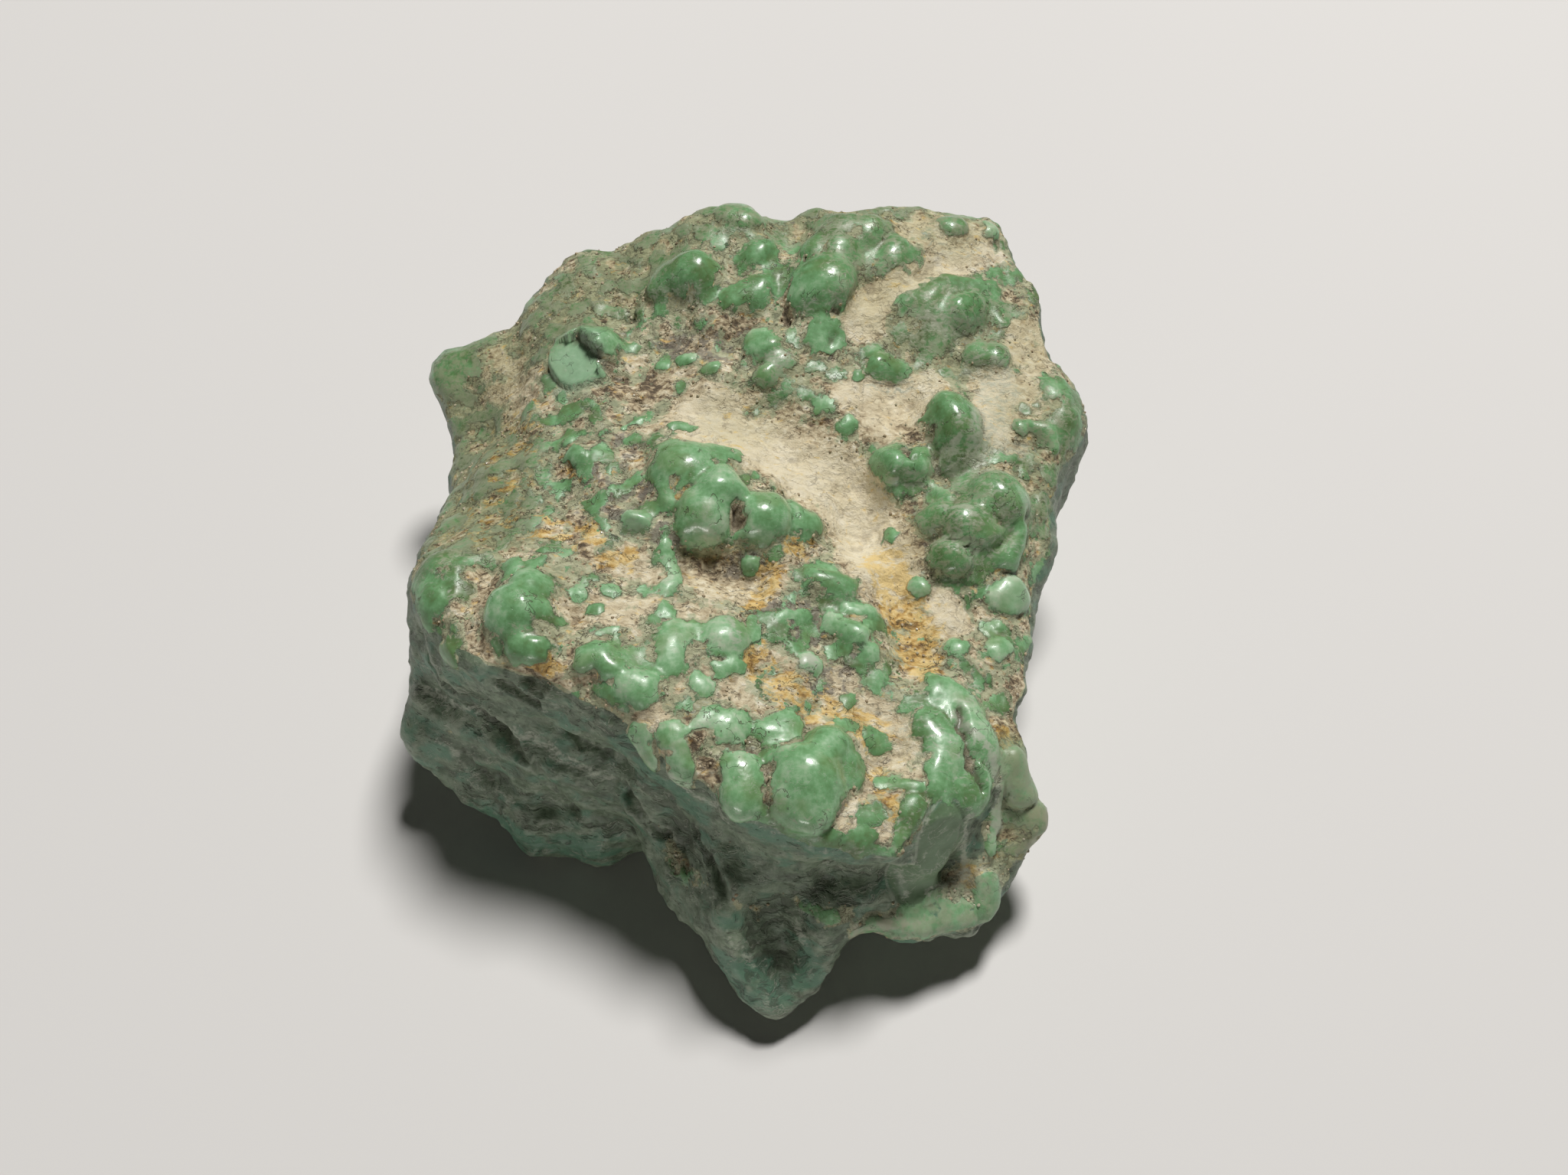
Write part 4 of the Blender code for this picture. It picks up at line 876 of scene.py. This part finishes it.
CLAY_SHADES = [(0.16, (0.11, 0.080, 0.048)), (0.30, (0.27, 0.200, 0.120)), (0.41, (0.48, 0.385, 0.240)),
               (0.53, (0.65, 0.550, 0.365)), (0.68, (0.80, 0.705, 0.495)), (0.86, (0.88, 0.82, 0.66))]
OCHRE_SHADES = [(0.22, (0.34, 0.185, 0.045)), (0.42, (0.66, 0.405, 0.10)), (0.66, (0.84, 0.62, 0.25))]
CHALKY_GREEN, SLATE = (0.40, 0.45, 0.28), (0.21, 0.19, 0.16)
STROKE_BROWN, CREVICE_BROWN = (0.15, 0.105, 0.060), (0.11, 0.082, 0.048)


def sandy_clay(place, cream, brown, dark, ochre, chalk):
    curled = warped(place, 0.9, 0.45, (1.0, 1.9, 1.4), (0.2, 0.3, 0.5))
    swept = warped(place, 0.7, 0.5, (1.0, 1.6, 1.3), (0.4, 0.2, -0.4))
    fine = cloud(curled, 0.62, 4, 3)
    broken = 1 - 0.78 * cream
    light = 0.50 + (1.7 * fine + 1.1 * cloud(place, 1.5, 4, 5)) * broken + 0.22 * cream - 0.10 * brown
    chalky = step(chalk + 1.6 * cloud(place, 0.5, 4, 7), 0.35, 0.75)
    slate = step(0.34 * dark - 0.12 * cream + cloud(place, 0.9, 4, 9), 0.13, 0.24)
    rust = step(0.33 * ochre + 1.5 * cloud(curled, 1.0, 5, 13), 0.12, 0.34)
    grouped = step(cloud(place, 1.4, 2, 15) + 0.25 * dark, -0.02, 0.16) * patches(place, 1.1, 2, 18, 0, 0.06)
    stroke = lines(swept, 1.3, 3, 17, 0.028, 0.008) * grouped * (1 - 0.5 * cream)
    crevice = lines(curled, 1.5, 5, 19, 0.014, 0.004) * patches(place, 1.8, 2, 23, -0.05, 0.05) * broken
    colour = layered(
        ramp(light, CLAY_SHADES), (0.70 * chalky, CHALKY_GREEN), (0.75 * slate, SLATE),
        (0.85 * rust, ramp(light, OCHRE_SHADES)), (0.8 * stroke, STROKE_BROWN),
        (0.75 * crevice, CREVICE_BROWN))
    height = 0.15 * cloud(place, 0.5, 6, 21) + 0.12 * fine - 0.05 * stroke - 0.07 * crevice
    return colour, height


# Polished turquoise: waxy green and mottled, with hair cracks, scratches, a little powder and a
# band of painted shade along its edge.  It grew in round beads and in thin sheets over the rock,
# and handling has polished it.
GREEN_SHADES = [(0.0, (0.115, 0.150, 0.055)), (0.26, (0.135, 0.245, 0.095)), (0.46, (0.165, 0.350, 0.150)),
                (0.64, (0.230, 0.465, 0.225)), (0.80, (0.350, 0.570, 0.330)), (1.0, (0.54, 0.66, 0.47))]
OLIVE, CRACK_BROWN, SCRATCHED = (0.190, 0.290, 0.105), (0.11, 0.095, 0.055), (0.42, 0.50, 0.37)
POWDER, EDGE_SHADE = (0.40, 0.43, 0.29), (0.055, 0.075, 0.04)


def polished_turquoise(place, tint, dust_and_shade, edge):
    grained = warped(place, 0.8, 0.5, (1, 2.5, 1.6), (0.3, 0.2, 0.7))
    hue = tint + 1.3 * cloud(place, 1.9, 4) + 0.6 * cloud(place, 0.4, 3, 3)
    olive = patches(place, 2.6, 2, 45, 0.02, 0.16)
    crack = (lines(warped(place, 1.0, 0.6), 3.2, 4, 24, 0.007, 0.002)
             * patches(place, 2.0, 2, 25, -0.02, 0.08))
    scratch = (lines(grained, 0.7, 3, 27, 0.022, 0.005)
               * step(cloud(place, 1.8, 2, 29) + 0.12 * dust_and_shade, 0.03, 0.12))
    powder = step(0.30 * dust_and_shade + cloud(place, 0.45, 6, 31), 0.10, 0.30)
    # painted shade: the rim is a dark band along the edge of the green, where it meets the clay
    rim = step(edge, 0.62, 0.49) * step(edge, 0.38, 0.46) * patches(place, 1.1, 2, 33, -0.06, 0.08)
    colour = layered(
        ramp(hue, GREEN_SHADES), (0.45 * olive, OLIVE), (0.6 * crack, CRACK_BROWN),
        (0.6 * scratch, SCRATCHED), (0.72 * powder, POWDER), (0.7 * rim, EDGE_SHADE))
    height = 0.05 * cloud(place, 0.9, 2, 35) - 0.05 * crack + 0.01 * powder
    return colour, height, either(powder, 0.6 * scratch)


# Waxy rock of the broken wall: dull grey-green, with milky veins, dark gouges and teal at its
# foot, a painted highlight along its ridges and painted shade in its hollows and over the spur.  It
# shows where the stone split from its bed, and one smooth pane stands at its right.
ROCK_SHADES = [(0.2, (0.080, 0.105, 0.064)), (0.45, (0.150, 0.200, 0.130)),
               (0.65, (0.230, 0.295, 0.200)), (0.85, (0.32, 0.37, 0.265))]
PANE_SHADES = [(0.3, (0.115, 0.190, 0.095)), (0.7, (0.185, 0.285, 0.165))]
JADE, STAINED_AND_SHADED, PITTED = (0.110, 0.255, 0.165), (0.065, 0.072, 0.046), (0.07, 0.07, 0.045)
MILKY_RIM, MILKY_VEIN = (0.42, 0.48, 0.36), (0.46, 0.49, 0.39)
RIDGE_HIGHLIGHT, WALL_HOLLOW_SHADE = (0.44, 0.48, 0.37), (0.055, 0.060, 0.036)


def waxy_rock(place, smudge_and_shade, green, ridge, pane):
    slant = warped(place, 2.0, 0.9, (0.55, 1.0, 1.5), (0.0, 0.75, 0.2))
    tone = 0.5 + 1.3 * cloud(slant, 1.6, 6) + 0.7 * cloud(place, 0.3, 3, 5)
    jade = step(0.42 * green + cloud(slant, 1.6, 3, 7), 0.16, 0.42)
    # painted shade over the spur, and stains elsewhere on the wall, where the smudge zones lie
    stain_and_shade = step(0.22 * smudge_and_shade + cloud(slant, 0.8, 6, 19), 0.12, 0.24) * (1 - pane)
    pits = patches(slant, 0.35, 3, 25, 0.13, 0.19)
    seam = lines(slant, 2.6, 5, 11, 0.012, 0.003) * patches(place, 2.5, 2, 15, -0.06, 0.06)
    hair = lines(slant, 0.9, 3, 27, 0.016, 0.004) * patches(place, 1.3, 2, 29, 0, 0.12)
    vein = either(seam, 0.7 * hair)
    pane_rim = step(pane, 0.22, 0.30) * step(pane, 0.44, 0.36)
    # painted highlight: the ridges of the wall, where they stand out, are lightened
    worn = step(ridge + 0.5 * cloud(place, 0.4, 3, 17), 0.60, 0.82)
    # painted shade: the hollows of the wall are darkened
    shaded_hollows = step(ridge + 0.5 * cloud(place, 0.4, 3, 18), 0.40, 0.18)
    colour = layered(
        ramp(tone, ROCK_SHADES), (0.75 * jade, JADE), (0.55 * stain_and_shade, STAINED_AND_SHADED),
        (0.5 * pits * (1 - pane), PITTED),
        (step(pane, 0.35, 0.55), ramp(0.5 + cloud(slant, 1.2, 3, 33), PANE_SHADES)),
        (0.5 * pane_rim, MILKY_RIM), (0.55 * vein, MILKY_VEIN), (0.35 * worn, RIDGE_HIGHLIGHT),
        (0.38 * shaded_hollows, WALL_HOLLOW_SHADE))
    rough = 0.14 * cloud(slant, 0.9, 6, 23) + 0.02 * vein - 0.05 * stain_and_shade - 0.04 * pits
    return colour, rough * (1 - 0.8 * pane)


def new_finish(name):
    """A material, its shader's inputs, and each point's place in millimetres."""
    finish = bpy.data.materials.new(name)
    finish.use_nodes = True
    place = wash(finish.node_tree, "ShaderNodeTexCoord", output="Object")
    where = wash(finish.node_tree, "ShaderNodeVectorMath", {0: place, "Scale": 1 / MM}, operation="SCALE")
    return finish, finish.node_tree.nodes["Principled BSDF"].inputs, where


def field(finish, name):
    return wash(finish.node_tree, "ShaderNodeAttribute", output="Fac", attribute_name=name)


# The stone's own material lays the three over each other.  Films of dried lime (with one painted
# highlight among them), frost and dust lie over them, painted shade darkens the hollows, the feet of
# the beads and the dusty slopes, and the polished green is glossy where it is clean.
FROST, GAP_SHADOW, CHIPPED = (0.43, 0.455, 0.33), (0.10, 0.085, 0.05), (0.40, 0.60, 0.41)
CRUSTED, FILM_AND_HIGHLIGHT_PALE = (0.46, 0.45, 0.33), (0.54, 0.57, 0.46)
HOLLOW_SHADE, CRACK_DARK, PAINTED_SLOPE_SHADE = (0.13, 0.095, 0.055), (0.085, 0.070, 0.045), (0.62, 0.66, 0.50)
CLAY_ROUGH, GREEN_ROUGH, WALL_ROUGH, GLOSS_ROUGH = 0.78, 0.42, 0.46, 0.27
GREEN_STANDS = 0.035                     # how far polished green stands over the clay

stone, shader, where = new_finish("turquoise in clay")
known = {name: field(stone, name) for name in FIELDS}
torn_edge = cloud(where, 0.45, 5, 37) * blend(known["bead"], 0.60, 0.36)
edge = known["green"] + torn_edge
crumbs = cloud(where, 0.75, 4, 39) + 0.22 * known["green"] - 0.3 * known["cream"]
is_green = either(step(edge, 0.47, 0.53), step(crumbs, 0.205, 0.225))
is_wall = step(known["wall"] + 1.5 * cloud(where, 1.6, 4, 51) + torn_edge, 0.38, 0.56)
# painted shadow: a thin dark line on the clay just outside each green patch, where a bead meets the clay
painted_gap_shadow = step(edge, 0.40, 0.46) * step(edge, 0.50, 0.46) * patches(where, 1.2, 3, 47, -0.08, 0.04)
chalk = either(step(edge, 0.06, 0.44), step(known["wall"], 0.02, 0.30)) * (1 - 0.75 * known["cream"])


def part(name, paint, inputs, outputs, **own):
    """A group placed in the stone's material, fed with the stone's own fields."""
    fed = {label: own.get(label, known.get(label.lower(), where)) for label in inputs}
    placed = add(stone.node_tree, "ShaderNodeGroup", fed, node_tree=group(name, paint, inputs, outputs))
    return [Wash(placed.outputs[label]) for label in outputs]


clay, clay_height = part(
    "sandy clay", sandy_clay, ("Place", "Cream", "Brown", "Dark", "Ochre", "Chalk"),
    ("Color", "Height"), Chalk=chalk)
polish, polish_height, dull = part(
    "polished turquoise", polished_turquoise, ("Place", "Tint", "Dust_and_shade", "Edge"),
    ("Color", "Height", "Dull"), Edge=edge)
rock, rock_height = part(
    "waxy rock", waxy_rock, ("Place", "Smudge_and_shade", "Green", "Ridge", "Pane"), ("Color", "Height"))

wisps = cloud(warped(where, 0.8, 0.5, (1.0, 2.2, 1.5), (0.5, 0.1, 0.3)), 0.42, 5, 53)
low_down = (step(edge, 1.35, 0.55) + 1.3 * reckon("MINIMUM", known["dust_and_shade"], 0.4) - 1.02
            + 1.6 * cloud(where, 1.7, 3, 55))
frost = is_green * step(low_down + 3.2 * wisps, 0.15, 0.60)
streaks = cloud(warped(where, 0.9, 0.4, (1.0, 2.6, 1.8), (0.3, 0.2, 0.6)), 0.6, 5, 41)
# milky film, and on the tall dome a painted highlight line
filmy_and_highlight = step(0.60 * known["film_and_highlight"] + 1.4 * streaks, 0.18, 0.52)
# painted shade: the hollows of the upper side, round the feet of the beads, are darkened
painted_hollow_shade = step(known["ridge"] + 0.5 * cloud(where, 0.5, 3, 43), 0.36, 0.18) * (1 - is_wall)
colour = layered(
    clay, (is_green, polish), (0.62 * frost, FROST), (0.6 * painted_gap_shadow, GAP_SHADOW),
    (0.6 * known["matte"], CHIPPED),
    (0.8 * known["crust"] * patches(where, 0.8, 5, 49, -0.12, 0.10), CRUSTED),
    (is_wall, rock), (0.72 * filmy_and_highlight, FILM_AND_HIGHLIGHT_PALE), (0.35 * painted_hollow_shade, HOLLOW_SHADE),
    (known["hollow"] * blend(is_wall, 0.7, 0.25), CRACK_DARK))
# painted shade: over the dust zones the colour is darkened and tinted olive, most on the left slope, which
# faces away from the lamp
colour = layered(colour, (0.8 * known["dust_and_shade"] * (1 - is_wall), PAINTED_SLOPE_SHADE), how="MULTIPLY")
colour.feed(shader["Base Color"])

gloss = (is_green * step(edge, 0.50, 0.80) * known["shine"] * (1 - is_wall) * (1 - 0.9 * known["matte"])
         * (1 - 0.8 * dull) * (1 - 0.7 * frost))
roughness = blend(is_wall, blend(is_green, CLAY_ROUGH, GREEN_ROUGH), WALL_ROUGH)
blend(gloss, roughness, GLOSS_ROUGH).feed(shader["Roughness"])
(0.45 * gloss).feed(shader["Coat Weight"])
shader["Coat Roughness"].default_value = 0.06
shader["IOR"].default_value = 1.55

relief = blend(step(edge, 0.40, 0.58), clay_height, polish_height + GREEN_STANDS)
relief = blend(is_wall, relief, rock_height)
bump = wash(stone.node_tree, "ShaderNodeBump", {"Height": relief, "Strength": 1.0, "Distance": MM})
bump.feed(shader["Normal"])

body.materials.append(stone)
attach(nugget, "root")
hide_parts("turquoise_nugget")

# The grit: grains of sand and broken rock that stick in the clay, a tenth to a quarter of a
# millimetre across.  They are bedded in the crust as it dried, and half of each shows.
GRAIN = 0.075 * MM
GRAINS_PER_SQUARE_METRE = 2.0e6
GRAIN_SIZES = 0.5, 1.8                   # from the smallest to the largest, as shares of GRAIN
KNOCKS = 9000.0                          # bumps on a grain, over a metre
FULL_TURN = 6.28
GRIT_SHADES = [(0.0, (0.34, 0.26, 0.16)), (0.25, (0.50, 0.40, 0.26)), (0.6, (0.66, 0.57, 0.40)),
               (0.8, (0.36, 0.38, 0.26)), (1.0, (0.80, 0.74, 0.58))]
DAMP_CLAY = (0.34, 0.27, 0.18)
DULL_GRAIN, GLASSY_GRAIN = 0.75, 0.22    # their roughness

grit_finish, shader, where = new_finish("grit")
shade = field(grit_finish, "shade")
colour = layered(ramp(shade, GRIT_SHADES), (0.3 + cloud(where, 0.12, 3), DAMP_CLAY))
colour.feed(shader["Base Color"])
blend(step(shade, 0.80, 0.95), DULL_GRAIN, GLASSY_GRAIN).feed(shader["Roughness"])

scatter = bpy.data.node_groups.new("grit", "GeometryNodeTree")
named = {}
for label, kind in (("Geometry", "Geometry"), ("Grain Radius", "Float"),
                    ("Grains per Square Metre", "Float"), ("Finish", "Material")):
    socket = scatter.interface.new_socket(label, in_out="INPUT", socket_type=f"NodeSocket{kind}")
    named[label] = socket.identifier
scatter.interface.new_socket("Geometry", in_out="OUTPUT", socket_type="NodeSocketGeometry")
sockets = scatter.nodes.new("NodeGroupInput").outputs
given = {label: Wash(sockets[label]) for label in named}
where_grit = wash(scatter, "GeometryNodeInputNamedAttribute", {"Name": "grit"}, data_type="FLOAT")
spots = wash(scatter, "GeometryNodeDistributePointsOnFaces", {
    "Mesh": given["Geometry"], "Density": where_grit * given["Grains per Square Metre"], "Seed": 5},
    "Points", distribute_method="RANDOM")
ball = wash(scatter, "GeometryNodeMeshIcoSphere", {"Radius": given["Grain Radius"], "Subdivisions": 1})
knock = wash(scatter, "ShaderNodeTexNoise", {"Scale": KNOCKS}, "Color")
knock = wash(scatter, "ShaderNodeVectorMath", {0: knock, 1: (0.5, 0.5, 0.5)}, operation="SUBTRACT")
knock = wash(scatter, "ShaderNodeVectorMath", {0: knock, "Scale": given["Grain Radius"]}, operation="SCALE")
grain = wash(scatter, "GeometryNodeSetPosition", {"Geometry": ball, "Offset": knock})
turn = wash(scatter, "FunctionNodeRandomValue", {0: (0, 0, 0), 1: (FULL_TURN,) * 3, "Seed": 1},
            data_type="FLOAT_VECTOR")
size = wash(scatter, "FunctionNodeRandomValue", {2: GRAIN_SIZES[0], 3: GRAIN_SIZES[1], "Seed": 2}, 1)
placed = wash(scatter, "GeometryNodeInstanceOnPoints", {
    "Points": spots, "Instance": grain, "Rotation": turn, "Scale": size})
pick = wash(scatter, "FunctionNodeRandomValue", {"Seed": 3}, 1)
shaded = wash(scatter, "GeometryNodeStoreNamedAttribute",
              {"Geometry": placed, "Name": "shade", "Value": pick}, data_type="FLOAT", domain="INSTANCE")
real = wash(scatter, "GeometryNodeRealizeInstances", {"Geometry": shaded})
finished = wash(scatter, "GeometryNodeSetMaterial", {"Geometry": real, "Material": given["Finish"]})
finished.feed(scatter.nodes.new("NodeGroupOutput").inputs["Geometry"])

carrier_mesh = body.copy()
carrier = bpy.data.objects.new("grit carrier", carrier_mesh)
bpy.context.scene.collection.objects.link(carrier)
scattering = carrier.modifiers.new("grit", "NODES")
scattering.node_group = scatter
scattering[named["Grain Radius"]] = GRAIN
scattering[named["Grains per Square Metre"]] = GRAINS_PER_SQUARE_METRE
scattering[named["Finish"]] = grit_finish
grains = bpy.data.meshes.new_from_object(carrier.evaluated_get(bpy.context.evaluated_depsgraph_get()))
bpy.data.objects.remove(carrier)
bpy.data.meshes.remove(carrier_mesh)
grit = bpy.data.objects.new("grit", grains)
bpy.context.scene.collection.objects.link(grit)
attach(grit, "root")

# The floor: plain pale paper, a hair under the stone's foot and far wider than the view
FLOOR_SIDE = 5.0
FLOOR_GAP = 0.02 * MM
PALE_PAPER = (0.80, 0.785, 0.77, 1)

half = FLOOR_SIDE / 2
floor_mesh = bpy.data.meshes.new("floor")
floor_mesh.from_pydata([(-half, -half, 0), (half, -half, 0), (half, half, 0), (-half, half, 0)],
                       [], [(0, 1, 2, 3)])
paper = bpy.data.materials.new("pale paper")
paper.use_nodes = True
shader = paper.node_tree.nodes["Principled BSDF"].inputs
for socket, value in (("Base Color", PALE_PAPER), ("Roughness", 0.9), ("Specular IOR Level", 0.2)):
    shader[socket].default_value = value
floor_mesh.materials.append(paper)
floor = bpy.data.objects.new("floor", floor_mesh)
floor.location.z = -FLOOR_GAP
bpy.context.scene.collection.objects.link(floor)


# The light: one small lamp high behind the stone, a weak wide one low in front, and a dim room
def lamp(name, direction, distance, width, length, power, tone):
    light = bpy.data.lights.new(name, "AREA")
    light.shape, light.size, light.size_y = "ELLIPSE", width, length
    light.energy, light.color = power, tone
    standing = bpy.data.objects.new(name, light)
    way = unit(np.array(direction, float))
    standing.location = way * distance
    standing.rotation_euler = Vector(way).to_track_quat("Z", "Y").to_euler()
    bpy.context.scene.collection.objects.link(standing)


lamp("key lamp", (0.18, 0.36, 1.0), 0.9, 0.19, 0.28, 7.6, (1.0, 0.985, 0.96))
lamp("front fill", (-0.25, -1.0, 0.09), 1.0, 0.5, 0.14, 1.5, (1.0, 0.97, 0.92))
room = bpy.data.worlds.new("dim room")
room.use_nodes = True
room.node_tree.nodes["Background"].inputs["Color"].default_value = (1.0, 0.98, 0.95, 1)
room.node_tree.nodes["Background"].inputs["Strength"].default_value = 0.010
bpy.context.scene.world = room
bpy.context.scene.view_settings.view_transform = "Standard"

# The camera looks down at the stone's front, from about a hand's length away
TARGET = np.array([2.4, 1.8, 12.0])      # in the survey's own millimetres
ELEVATION = math.radians(50)
DISTANCE = 115.0
LENS, SENSOR = 40, 36                    # millimetres
NEAREST_SEEN = 0.005

eye = TARGET + DISTANCE * np.array([0, -math.cos(ELEVATION), math.sin(ELEVATION)])
shift = (SURVEY_LOW + SURVEY_HIGH) / 2 * (1, 1, 0)
lens = bpy.data.cameras.new("camera")
lens.lens, lens.sensor_width, lens.clip_start = LENS, SENSOR, NEAREST_SEEN
camera = bpy.data.objects.new("camera", lens)
camera.location = (eye - shift) * MM
camera.rotation_euler = (math.pi / 2 - ELEVATION, 0, 0)
bpy.context.scene.collection.objects.link(camera)
bpy.context.scene.camera = camera
